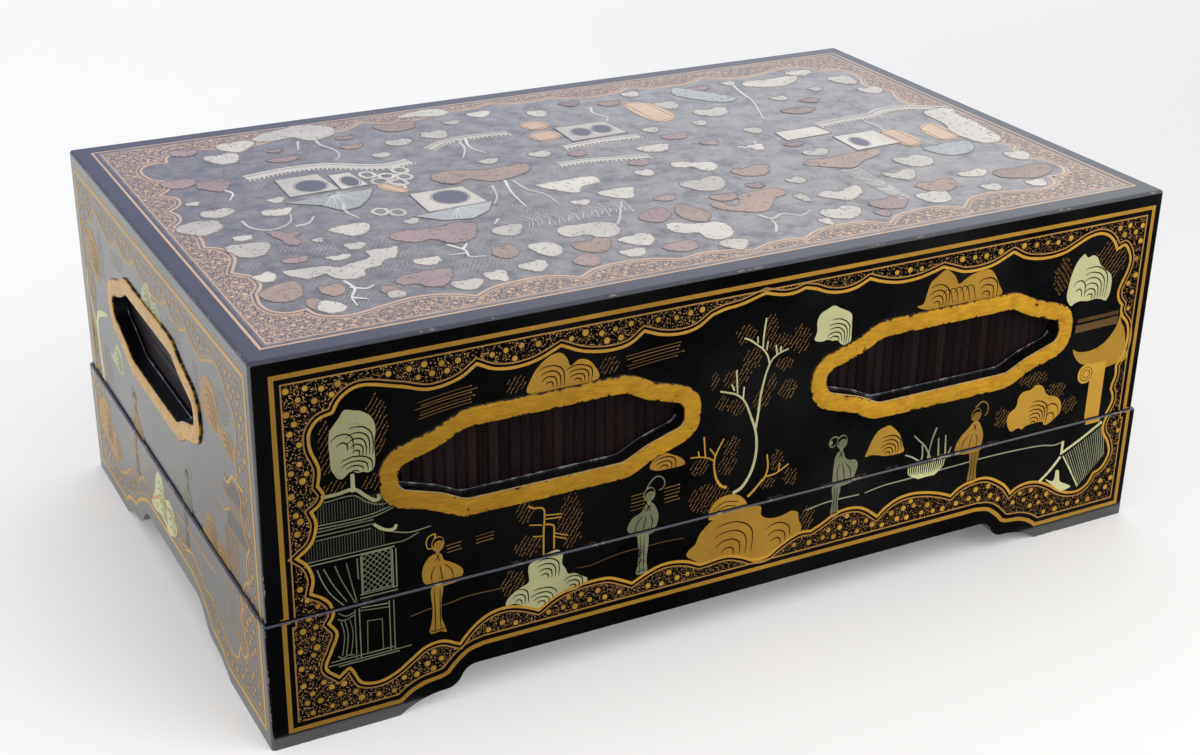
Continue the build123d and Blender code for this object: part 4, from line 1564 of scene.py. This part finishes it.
class Nodes:
    """Adds nodes to one tree and links them."""

    def __init__(self, tree):
        self.tree = tree

    def add(self, kind, inputs=None, **settings):
        node = self.tree.nodes.new("ShaderNode" + kind)
        for key, value in settings.items():
            setattr(node, key, value)
        for key, value in (inputs or {}).items():
            self.set(node.inputs[key], value)
        return node

    def set(self, socket, value):
        if isinstance(value, bpy.types.NodeSocket):
            self.tree.links.new(value, socket)
        elif socket.type == "RGBA" and len(value) == 3:
            socket.default_value = (*value, 1)
        else:
            socket.default_value = value

    def math(self, operation, a, b=0.0):
        return self.add("Math", {0: a, 1: b}, operation=operation).outputs[0]

    def times(self, a, b):
        return self.math("MULTIPLY", a, b)

    def plus(self, a, b):
        return self.math("ADD", a, b)

    def minus(self, a, b):
        return self.math("SUBTRACT", a, b)

    def most(self, a, b):
        return self.math("MAXIMUM", a, b)

    def least(self, a, b):
        return self.math("MINIMUM", a, b)

    def ranged(self, value, low, high, start=0.0, end=1.0):
        inputs = {"Value": value, "From Min": low, "From Max": high, "To Min": start, "To Max": end}
        return self.add("MapRange", inputs).outputs["Result"]

    def noise(self, vector, scale, detail=2.0, roughness=0.5):
        inputs = {"Vector": vector, "Scale": scale, "Detail": detail, "Roughness": roughness}
        return self.add("TexNoise", inputs).outputs["Fac"]

    def mixed(self, factor, a, b):
        return self.add("Mix", {0: factor, 6: a, 7: b}, data_type="RGBA").outputs[2]

    def shaded(self, base, factor):
        """A colour made darker or lighter by a factor."""
        inputs = {0: 1.0, 6: base, 7: factor}
        return self.add("Mix", inputs, data_type="RGBA", blend_type="MULTIPLY").outputs[2]

    def place(self):
        return self.add("TexCoord").outputs["Object"]

    def apart(self, vector):
        """The three numbers of a vector."""
        return self.add("SeparateXYZ", {0: vector}).outputs

    def stretched(self, vector, scale, turn=(0, 0, 0)):
        return self.add("Mapping", {"Vector": vector, "Scale": scale, "Rotation": turn}).outputs["Vector"]


def group(name, inputs, outputs):
    """New shader node group with float inputs and outputs."""
    tree = bpy.data.node_groups.new(name, "ShaderNodeTree")
    for label, value in inputs.items():
        socket = tree.interface.new_socket(label, in_out="INPUT", socket_type="NodeSocketFloat")
        socket.default_value = value
    for label in outputs:
        tree.interface.new_socket(label, in_out="OUTPUT", socket_type="NodeSocketFloat")
    nodes = Nodes(tree)
    return nodes, tree.nodes.new("NodeGroupInput").outputs, tree.nodes.new("NodeGroupOutput").inputs


def worn_corner_group():
    """Rubbed corners and edges of a box of a given size, from the place on it."""
    inputs = {"Half Length": 0.2, "Half Depth": 0.12, "Low": 0.0, "High": 0.1, "Width": 0.002}
    nodes, given, result = group("Worn corners", inputs, ("Rub", "Chips"))
    place = nodes.place()
    apart = nodes.apart(place)
    to_end = nodes.minus(given["Half Length"], nodes.math("ABSOLUTE", apart["X"]))
    to_side = nodes.minus(given["Half Depth"], nodes.math("ABSOLUTE", apart["Y"]))
    above = nodes.minus(apart["Z"], given["Low"])
    below = nodes.minus(given["High"], apart["Z"])
    to_rim = nodes.least(above, below)
    to_rim_edge = nodes.least(nodes.most(to_side, to_rim), nodes.most(to_end, to_rim))
    nearest = nodes.least(nodes.most(to_end, to_side), to_rim_edge)
    near = nodes.math("DIVIDE", nearest, given["Width"])
    broad = nodes.noise(place, 55, 3)
    fine = nodes.noise(place, 420, 3, 0.65)
    uneven = nodes.plus(near, nodes.ranged(fine, 0.3, 0.7, -0.35, 0.35))
    nodes.set(result["Rub"], nodes.ranged(uneven, 0.0, 1.0, 1.0, 0.0))
    patchy = nodes.plus(uneven, nodes.ranged(broad, 0.42, 0.62, 0.9, -0.1))
    nodes.set(result["Chips"], nodes.ranged(patchy, 0.30, 0.42, 1.0, 0.0))


def surface_group():
    """Fine scratches, dust and slow unevenness of an old glossy finish."""
    nodes, _, result = group("Old gloss", {}, ("Scratches", "Bloom", "Wave"))
    place = nodes.place()
    long_way = nodes.noise(nodes.stretched(place, (40, 40, 900), (0.4, 0.3, 0.5)), 1.0, 2, 0.6)
    cross_way = nodes.noise(nodes.stretched(place, (900, 60, 60), (0.2, 0.7, -0.4)), 1.0, 2, 0.6)
    scratch = nodes.most(nodes.ranged(long_way, 0.70, 0.80), nodes.ranged(cross_way, 0.70, 0.80))
    nodes.set(result["Scratches"], scratch)
    nodes.set(result["Bloom"], nodes.ranged(nodes.noise(place, 16, 4, 0.6), 0.35, 0.7))
    nodes.set(result["Wave"], nodes.noise(place, 90, 2))


def worn_paint_group():
    """Where thin paint has rubbed away, and how its tone drifts."""
    nodes, given, result = group("Worn paint", {"Loss": 0.3}, ("Gone", "Drift", "Grain"))
    place = nodes.place()
    broad = nodes.noise(place, 70, 3, 0.6)
    fine = nodes.noise(place, 1500, 3, 0.7)
    both = nodes.plus(nodes.times(broad, 0.45), nodes.times(fine, 0.55))
    limit = nodes.ranged(given["Loss"], 0.0, 1.0, 0.72, 0.5)
    above = nodes.minus(both, limit)
    nodes.set(result["Gone"], nodes.ranged(above, 0.0, 0.035))
    nodes.set(result["Drift"], nodes.ranged(nodes.noise(place, 38, 3, 0.6), 0.3, 0.7))
    nodes.set(result["Grain"], nodes.noise(place, 2600, 2, 0.6))


def speckle_group():
    """Fine gold curls and specks of the border band."""
    nodes, given, result = group("Gold curls", {"Size": 1.0, "Share": 0.5}, ("Gold",))
    inputs = {0: nodes.place(), "Scale": given["Size"]}
    scaled = nodes.add("VectorMath", inputs, operation="SCALE").outputs[0]
    contour = nodes.math("ABSOLUTE", nodes.minus(nodes.noise(scaled, 1050, 0), 0.5))
    curls = nodes.math("LESS_THAN", contour, nodes.ranged(given["Share"], 0.0, 1.0, 0.04, 0.12))
    gaps = nodes.ranged(given["Share"], 0.0, 1.0, 0.62, 0.40)
    broken = nodes.math("GREATER_THAN", nodes.noise(scaled, 1500, 1), gaps)
    nodes.set(result["Gold"], nodes.times(curls, broken))


def left_shade_group():
    """Painted shade: share of light that gold, paint and bloom keep, painted darker towards the left of the
    long sides, as the light falls off from right to left, and painted lighter on the left end."""
    nodes, given, result = group("Left shade", {"Dull": 0.65}, ("Light",))
    apart = nodes.apart(nodes.place())
    along = nodes.ranged(apart["X"], -0.17, 0.08, given["Dull"], 1.0)
    left_end = nodes.ranged(apart["X"], -0.1998, -0.2001, 0.0, 1.15)
    nodes.set(result["Light"], nodes.most(along, left_end))


def finish(name, **sockets):
    """New material with plain values on its shader. Returns its nodes and the shader."""
    material = bpy.data.materials.new(name)
    material.use_nodes = True
    nodes = Nodes(material.node_tree)
    shader = material.node_tree.nodes["Principled BSDF"]
    for label, value in sockets.items():
        nodes.set(shader.inputs[label.replace("_", " ")], value)
    return nodes, shader


def use_group(nodes, name, **inputs):
    node = nodes.add("Group", node_tree=bpy.data.node_groups[name])
    for label, value in inputs.items():
        nodes.set(node.inputs[label.replace("_", " ")], value)
    return node.outputs


def surfaced(nodes, shader, colour, roughness, height, depth):
    """Gives a finish its colour, roughness and relief."""
    nodes.set(shader.inputs["Base Color"], colour)
    nodes.set(shader.inputs["Roughness"], roughness)
    bump = nodes.add("Bump", {"Height": height, "Distance": depth, "Strength": 1.0})
    nodes.set(shader.inputs["Normal"], bump.outputs["Normal"])


def lacquer_finish(name, half_x, half_y, low, high, aged=False):
    """Black lacquer, rubbed at its corners and edges. The top's ground has an aged, milky varnish."""
    nodes, shader = finish(name, IOR=1.95)
    reach = {"Half_Length": half_x, "Half_Depth": half_y, "Low": low, "High": high}
    worn = use_group(nodes, "Worn corners", Width=worn_edge_width, **reach)
    old = use_group(nodes, "Old gloss")
    # Painted shade: the bloom dims towards the left of the long sides.
    lighter = use_group(nodes, "Left shade", Dull=0.15)["Light"]
    base = nodes.mixed(nodes.times(old["Bloom"], lighter), colours().lacquer, colours().bloom)
    if aged:
        apart = nodes.apart(nodes.place())
        to_end = nodes.minus(half_x - plain_margin_at_ends, nodes.math("ABSOLUTE", apart["X"]))
        to_side = nodes.minus(half_y - plain_margin_at_sides, nodes.math("ABSOLUTE", apart["Y"]))
        within = nodes.ranged(nodes.least(to_end, to_side), 0.0, 0.002)
        clouds = nodes.ranged(nodes.noise(nodes.place(), 110, 5, 0.7), 0.36, 0.64, 0.4, 1.25)
        # Painted shade: the milky varnish is painted darker towards the left. Its paler warm film is thicker
        # towards the right.
        across = nodes.ranged(apart["X"], -0.2, 0.05, 0.66, 1.15)
        milky = nodes.shaded(colours().milky, nodes.times(clouds, across))
        film = nodes.ranged(nodes.noise(nodes.place(), 48, 5, 0.7), 0.44, 0.6)
        film = nodes.times(film, nodes.ranged(apart["X"], -0.16, 0.15, 0.12, 0.6))
        milky = nodes.mixed(film, milky, (0.36, 0.335, 0.32))
        base = nodes.mixed(within, base, milky)
    scratched = nodes.mixed(nodes.times(old["Scratches"], 0.15), base, (0.014, 0.012, 0.011))
    rubbed = nodes.mixed(nodes.times(worn["Rub"], 0.25), scratched, (0.05, 0.035, 0.025))
    chipped = nodes.mixed(worn["Chips"], rubbed, colours().worn_edge)
    rough = nodes.ranged(old["Bloom"], 0.0, 1.0, 0.13, 0.24)
    rough = nodes.plus(rough, nodes.times(old["Scratches"], 0.12))
    rough = nodes.plus(rough, nodes.times(worn["Chips"], 0.3))
    height = nodes.minus(nodes.times(old["Wave"], 0.3), nodes.times(old["Scratches"], 0.03))
    surfaced(nodes, shader, chipped, rough, nodes.minus(height, worn["Chips"]), 0.00012)


def paint_finish(name, base, loss=0.25, roughness=0.34, depth=0.25, ground=None, gloss=1.42, shadowed_light=0.65):
    """Hand-laid paint: each stroke has its own tone, thin places show the ground."""
    nodes, shader = finish(name, IOR=gloss)
    worn = use_group(nodes, "Worn paint", Loss=loss)
    tone = nodes.add("Attribute", attribute_name="tone").outputs["Fac"]
    light = nodes.ranged(tone, 0.0, 1.0, 1 - depth, 1 + depth * 0.5)
    drift = nodes.ranged(worn["Drift"], 0.0, 1.0, 0.86, 1.1)
    grain = nodes.ranged(worn["Grain"], 0.3, 0.7, 0.9, 1.08)
    factor = nodes.times(nodes.times(light, drift), grain)
    # Painted shade: the paints of the sides darken towards the left of the long sides.
    if gloss < 1.5:
        factor = nodes.times(factor, use_group(nodes, "Left shade", Dull=shadowed_light)["Light"])
    body = nodes.shaded(base, factor)
    thinned = nodes.mixed(worn["Gone"], body, ground or colours().lacquer)
    rough = nodes.ranged(worn["Grain"], 0.3, 0.7, roughness - 0.08, roughness + 0.08)
    surfaced(nodes, shader, thinned, rough, nodes.minus(worn["Grain"], worn["Gone"]), 0.00003)


def gilt_finish():
    """Gilding of the frames: warm gold with streaks, brown rubs and small dark chips."""
    nodes, shader = finish("gilding", IOR=1.42)
    place = nodes.place()
    worn = use_group(nodes, "Worn paint", Loss=0.3)
    # Painted shade: the gilding darkens towards the left of the long sides.
    left_shade_light = use_group(nodes, "Left shade", Dull=0.5)["Light"]
    body = nodes.shaded(colours().gilt, nodes.times(nodes.ranged(worn["Drift"], 0.0, 1.0, 0.85, 1.08), left_shade_light))
    across = nodes.add("Attribute", attribute_name="across").outputs["Fac"]
    from_middle = nodes.math("ABSOLUTE", nodes.minus(across, 0.5))
    at_edge = nodes.ranged(from_middle, 0.34, 0.5, 0.0, 0.2)
    dark = nodes.ranged(nodes.plus(nodes.noise(place, 300, 4, 0.7), at_edge), 0.67, 0.71)
    brush = nodes.noise(nodes.stretched(place, (170, 170, 900)), 1.0, 4, 0.65)
    streaked = nodes.shaded(body, nodes.ranged(brush, 0.3, 0.7, 0.72, 1.2))
    streaked = nodes.shaded(streaked, nodes.ranged(from_middle, 0.44, 0.5, 1.0, 0.6))
    rubs = nodes.ranged(nodes.noise(place, 150, 4, 0.6), 0.48, 0.72, 0.0, 0.6)
    rubbed = nodes.mixed(rubs, streaked, (0.31, 0.14, 0.006))
    chipped = nodes.mixed(dark, rubbed, (0.02, 0.010, 0.004))
    rough = nodes.ranged(worn["Grain"], 0.3, 0.7, 0.22, 0.36)
    height = nodes.minus(nodes.times(nodes.noise(place, 500, 3), 0.5), dark)
    surfaced(nodes, shader, chipped, rough, height, 0.00008)


def speckled_finish(name, share, size, gold, ground):
    """Ground of the border band, strewn with gold curls."""
    nodes, shader = finish(name, IOR=1.8)
    curls = use_group(nodes, "Gold curls", Share=share, Size=size)["Gold"]
    worn = use_group(nodes, "Worn paint", Loss=0.3)
    kept = nodes.times(curls, nodes.minus(1.0, worn["Gone"]))
    body = nodes.shaded(gold, nodes.ranged(worn["Drift"], 0.0, 1.0, 0.75, 1.1))
    strewn = nodes.mixed(kept, ground, body)
    surfaced(nodes, shader, strewn, nodes.ranged(kept, 0.0, 1.0, 0.2, 0.42), kept, 0.00003)


def reed_finish(name, axis, start):
    """Stained split reeds: each has its own tone, with fine cross marks and a few bluish ones."""
    nodes, shader = finish(name, IOR=1.22)
    place = nodes.place()
    apart = nodes.apart(place)
    count = nodes.math("DIVIDE", nodes.minus(apart[axis], start), sizes().reed_pitch)
    reed = nodes.math("FLOOR", count)
    tone = nodes.add("TexWhiteNoise", {"W": reed}, noise_dimensions="1D").outputs["Value"]
    along = apart["Z"] if axis == "X" else apart["Y"]
    grain = (900, 900, 60) if axis == "X" else (60, 60, 900)
    fibre = nodes.noise(nodes.stretched(place, grain), 1.0, 3, 0.6)
    marks = nodes.math("SINE", nodes.times(along, 5200.0))
    factor = nodes.times(nodes.ranged(tone, 0.0, 1.0, 0.6, 1.4), nodes.ranged(fibre, 0.3, 0.7, 0.7, 1.3))
    factor = nodes.times(factor, nodes.ranged(marks, -1.0, 1.0, 0.82, 1.12))
    body = nodes.shaded(colours().reed, factor)
    blue = nodes.times(nodes.math("GREATER_THAN", tone, 0.84), nodes.ranged(fibre, 0.35, 0.65, 0.3, 0.9))
    stained = nodes.mixed(blue, body, colours().blue_reed)
    height = nodes.plus(nodes.times(marks, 0.4), fibre)
    surfaced(nodes, shader, stained, nodes.ranged(fibre, 0.3, 0.7, 0.32, 0.5), height, 0.00012)


def glinting_bead_finish():
    """Black bead at the back edge of an opening, where the board's edge is worn round, with greyish-white
    patches painted on as its highlight.
    """
    nodes, shader = finish("glinting_bead", IOR=1.8)
    place = nodes.place()
    # Painted highlight: greyish-white patches along the bead.
    rubbed = nodes.ranged(nodes.noise(place, 160, 4, 0.7), 0.5, 0.62, 0.0, 0.8)
    body = nodes.mixed(rubbed, (0.012, 0.012, 0.014), (0.30, 0.30, 0.31))
    surfaced(nodes, shader, body, 0.25, nodes.noise(place, 420, 2), 0.0001)


def wood_finish(name, base, roughness, gloss):
    """Wood with its grain along the length of the box."""
    nodes, shader = finish(name, IOR=gloss)
    place = nodes.place()
    rings = nodes.noise(nodes.stretched(place, (14, 240, 240)), 1.0, 4, 0.6)
    pores = nodes.noise(nodes.stretched(place, (90, 1800, 1800)), 1.0, 2, 0.6)
    factor = nodes.times(nodes.ranged(rings, 0.3, 0.7, 0.65, 1.3), nodes.ranged(pores, 0.35, 0.7, 1.1, 0.8))
    dust = nodes.ranged(nodes.noise(place, 30, 4), 0.55, 0.8, 0.0, 0.25)
    dusty = nodes.mixed(dust, nodes.shaded(base, factor), (0.20, 0.17, 0.14))
    rough = nodes.ranged(pores, 0.3, 0.7, roughness - 0.1, roughness + 0.1)
    surfaced(nodes, shader, dusty, rough, nodes.plus(rings, pores), 0.0001)


class LACQUERED_BOX_OT_finishes(BoxOperator, bpy.types.Operator):
    """Mixes the lacquer, paints, gilding and woods, and finishes the boards with them"""

    bl_idname = "lacquered_box.finishes"
    bl_label = "Finishes"

    def execute(self, context):
        worn_corner_group()
        surface_group()
        worn_paint_group()
        left_shade_group()
        speckle_group()
        shades = colours()
        lacquer_finish("cover_lacquer", half_length, half_depth, seam, cover_top)
        lacquer_finish("base_lacquer", base_half_length, base_half_depth, 0.0, seam)
        lacquer_finish("top_lacquer", half_length, half_depth, seam, cover_top, aged=True)
        gilt_finish()
        paint_finish("gold", shades.gold, 0.22)
        paint_finish("rock_gold", (0.45, 0.24, 0.023), 0.35, depth=0.25)
        paint_finish("thin_gold", (0.33, 0.18, 0.025), 0.62, depth=0.4)
        paint_finish("fine_gold", shades.fine_gold, 0.35)
        paint_finish("dim_gold", shades.dim_gold, 0.3)
        paint_finish("foliage", shades.foliage, 0.4, depth=0.5)
        paint_finish("haze", (0.24, 0.125, 0.028), 0.4, depth=0.5)
        paint_finish("dark_ring", shades.lacquer, 0.0, gloss=1.8)
        paint_finish("pale", shades.pale, 0.25, depth=0.15, shadowed_light=0.45)
        paint_finish("thin_pale", (0.23, 0.235, 0.14), 0.6, depth=0.4)
        paint_finish("pale_line", shades.pale_line, 0.35, shadowed_light=0.45)
        paint_finish("grey_line", shades.grey_line, 0.4, shadowed_light=0.45)
        paint_finish("ink", (0.003, 0.003, 0.003), 0.0, depth=0.2, gloss=1.3)
        varnish = {"roughness": 0.3, "gloss": 1.85}
        paint_finish("rose_gold", shades.rose_gold, 0.15, ground=shades.milky, **varnish)
        paint_finish("rose_line", shades.rose_gold, 0.25, ground=shades.milky, **varnish)
        paint_finish("silver", shades.silver, 0.35, ground=shades.milky, **varnish)
        paint_finish("mist", (0.40, 0.36, 0.335), 0.35, depth=0.4, ground=shades.milky, **varnish)
        paint_finish("cream", shades.cream, 0.5, depth=0.2, ground=(0.45, 0.40, 0.36), **varnish)
        paint_finish("russet", shades.russet, 0.5, depth=0.2, ground=(0.24, 0.17, 0.17), **varnish)
        paint_finish("umber", shades.umber, 0.5, depth=0.2, ground=(0.46, 0.39, 0.33), **varnish)
        paint_finish("slate", shades.slate, 0.3, depth=0.2, ground=(0.30, 0.31, 0.32), **varnish)
        paint_finish("apricot", shades.apricot, 0.3, depth=0.2, ground=(0.56, 0.46, 0.38), **varnish)
        paint_finish("window", (0.09, 0.09, 0.11), 0.2, ground=shades.milky, **varnish)
        # Dark lines of the top: marks, outlines and the painted shade round the raised stones.
        paint_finish("mark_and_rim_shade", (0.20, 0.18, 0.185), 0.25, depth=0.3, ground=shades.milky, **varnish)
        speckled_finish("speckled", 0.36, 1.0, shades.fine_gold, shades.lacquer)
        speckled_finish("dense_speckled", 0.8, 0.8, shades.rose_gold, (0.09, 0.085, 0.09))
        # Painted highlight of the frames' lower inner lip.
        paint_finish("lip_glint", (0.62, 0.44, 0.22), 0.6, depth=0.2, ground=(0.20, 0.09, 0.01))
        glinting_bead_finish()
        reed_finish("upright_reeds", "X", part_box("reeding_front")[0].x)
        reed_finish("level_reeds", "Z", seam)
        wood_finish("lacquered_wood", shades.inner_wood, 0.45, 1.42)
        wood_finish("bare_wood", shades.raw_wood, 0.75, 1.4)
        uses = {
            "cover_lacquer": ["cover_" + side for side in side_names],
            "top_lacquer": ["cover_top"],
            "base_lacquer": ["base_" + side for side in side_names],
            "upright_reeds": ["reeding_front", "reeding_back"],
            "level_reeds": ["reeding_left", "reeding_right"],
            "lacquered_wood": ["base_floor"] + ["liner_" + side for side in side_names],
            "bare_wood": [
                f"foot_block_{depth}_{side}" for depth in ("front", "back") for side in ("left", "right")
            ],
            "gilding": frame_nodes,
        }
        for name, nodes in uses.items():
            for node in nodes:
                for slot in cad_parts[node].material_slots:
                    slot.material = bpy.data.materials[name]
        return {"FINISHED"}


# Stage


def seen_directly(nodes):
    """One for what the camera, the gloss and glass see, and nothing for what only lights the box."""
    path = nodes.add("LightPath").outputs
    seen = nodes.most(path["Is Camera Ray"], path["Is Glossy Ray"])
    return nodes.most(seen, path["Is Transmission Ray"])


class LACQUERED_BOX_OT_stage(BoxOperator, bpy.types.Operator):
    """Sets up the floor, the soft lights and the camera"""

    bl_idname = "lacquered_box.stage"
    bl_label = "Stage"

    def execute(self, context):
        deselect()
        bpy.ops.mesh.primitive_plane_add(size=floor_size, location=(0, 0, 0))
        floor = context.object
        floor.name = "studio_floor"
        nodes, shader = finish("studio_floor", Roughness=0.9, Specular_IOR_Level=0.0)
        # Painted light on the floor: it glows for the camera and the gloss, most on the left and fading away
        # towards the back, and its colour is painted darker to the right and lighter towards the back.
        apart = nodes.apart(nodes.place())
        rise = nodes.ranged(apart["Y"], -0.6, 1.2)
        away = nodes.times(seen_directly(nodes), nodes.ranged(apart["X"], -0.45, 0.45, 2.0, 0.2))
        nodes.set(shader.inputs["Emission Strength"], away)
        shade = nodes.mixed(nodes.ranged(apart["X"], 0.1, 0.6), colours().floor, (0.70, 0.70, 0.70))
        nodes.set(shader.inputs["Base Color"], nodes.mixed(rise, shade, (0.97, 0.97, 0.975)))
        nodes.set(shader.inputs["Emission Color"], nodes.mixed(rise, (0.20, 0.195, 0.19), (0.0, 0.0, 0.0)))
        floor.data.materials.append(bpy.data.materials["studio_floor"])
        self.flag()
        self.world(context)
        for name, values in lamps.items():
            self.lamp(name, *values)
        self.camera(context)
        return {"FINISHED"}

    def flag(self):
        """Black sheet on the floor, hidden from the camera, the diffuse light and the shadows: it paints a
        dark reflection into the gloss of the front.
        """
        bpy.ops.mesh.primitive_plane_add(size=1, location=dark_reflection_place)
        reflection_sheet = bpy.context.object
        reflection_sheet.name = "dark_reflection_sheet"
        reflection_sheet.scale = (dark_reflection_size, dark_reflection_size, 1)
        finish("dark_reflection_sheet", Base_Color=(0.008, 0.008, 0.008), Roughness=1.0, Specular_IOR_Level=0.0)
        reflection_sheet.data.materials.append(bpy.data.materials["dark_reflection_sheet"])
        reflection_sheet.visible_camera = False
        reflection_sheet.visible_diffuse = False
        reflection_sheet.visible_shadow = False
        reflection_sheet.visible_transmission = False

    def world(self, context):
        world = bpy.data.worlds.new("studio")
        context.scene.world = world
        world.use_nodes = True
        nodes = Nodes(world.node_tree)
        seen = seen_directly(nodes)
        background = world.node_tree.nodes["Background"]
        way = nodes.apart(nodes.add("TexCoord").outputs["Generated"])
        glossed = nodes.mixed(nodes.ranged(way["X"], 0.2, 0.75), (0.50, 0.53, 0.76), (0.95, 1.0, 1.08))
        lit = nodes.mixed(seen, (0.98, 0.99, 1.0), glossed)
        by_camera = nodes.add("LightPath").outputs["Is Camera Ray"]
        nodes.set(background.inputs["Color"], nodes.mixed(by_camera, lit, (0.74, 0.74, 0.745)))
        nodes.set(background.inputs["Strength"], nodes.ranged(seen, 0.0, 1.0, 0.82, 1.10))

    def lamp(self, name, place, width, height, power, tint):
        data = bpy.data.lights.new(name, "AREA")
        data.shape = "RECTANGLE"
        data.size = width
        data.size_y = height
        data.energy = power
        data.color = tint
        lamp = linked(name, data)
        lamp.location = place
        lamp.rotation_euler = (lamp_aim - Vector(place)).to_track_quat("-Z", "Y").to_euler()
        lamp.visible_camera = False
        lamp.visible_glossy = False

    def camera(self, context):
        data = bpy.data.cameras.new("camera")
        data.sensor_fit = "HORIZONTAL"
        data.sensor_width = 36
        data.lens = camera_lens
        camera = linked("camera", data)
        forward, right = camera_forward.normalized(), camera_right.normalized()
        turn = Matrix((right, right.cross(forward), -forward)).transposed()
        camera.matrix_world = Matrix.Translation(camera_place) @ turn.to_4x4()
        context.scene.camera = camera
        context.scene.view_settings.view_transform = "Standard"


operators = (
    LACQUERED_BOX_OT_finishes,
    LACQUERED_BOX_OT_frames,
    LACQUERED_BOX_OT_borders,
    LACQUERED_BOX_OT_sides,
    LACQUERED_BOX_OT_top,
    LACQUERED_BOX_OT_stage,
)


class LACQUERED_BOX_PT_panel(bpy.types.Panel):
    """Lists the steps that dress the box"""

    bl_idname = "LACQUERED_BOX_PT_panel"
    bl_label = "Lacquered Box"
    bl_space_type = "VIEW_3D"
    bl_region_type = "UI"
    bl_category = "Lacquered Box"

    def draw(self, context):
        for step in operators:
            self.layout.operator(step.bl_idname)
        for values in (context.scene.lacquered_box_sizes, context.scene.lacquered_box_colours):
            for name in values.__annotations__:
                self.layout.prop(values, name)


classes = (BoxSizes, BoxColours, *operators, LACQUERED_BOX_PT_panel)


def register():
    for cls in classes:
        bpy.utils.register_class(cls)
    bpy.types.Scene.lacquered_box_sizes = PointerProperty(type=BoxSizes)
    bpy.types.Scene.lacquered_box_colours = PointerProperty(type=BoxColours)


def unregister():
    del bpy.types.Scene.lacquered_box_sizes
    del bpy.types.Scene.lacquered_box_colours
    for cls in reversed(classes):
        bpy.utils.unregister_class(cls)


def main():
    register()
    bpy.ops.lacquered_box.finishes()
    bpy.ops.lacquered_box.frames()
    bpy.ops.lacquered_box.borders()
    bpy.ops.lacquered_box.sides()
    bpy.ops.lacquered_box.top()
    bpy.ops.lacquered_box.stage()


if __name__ == "__main__":
    main()
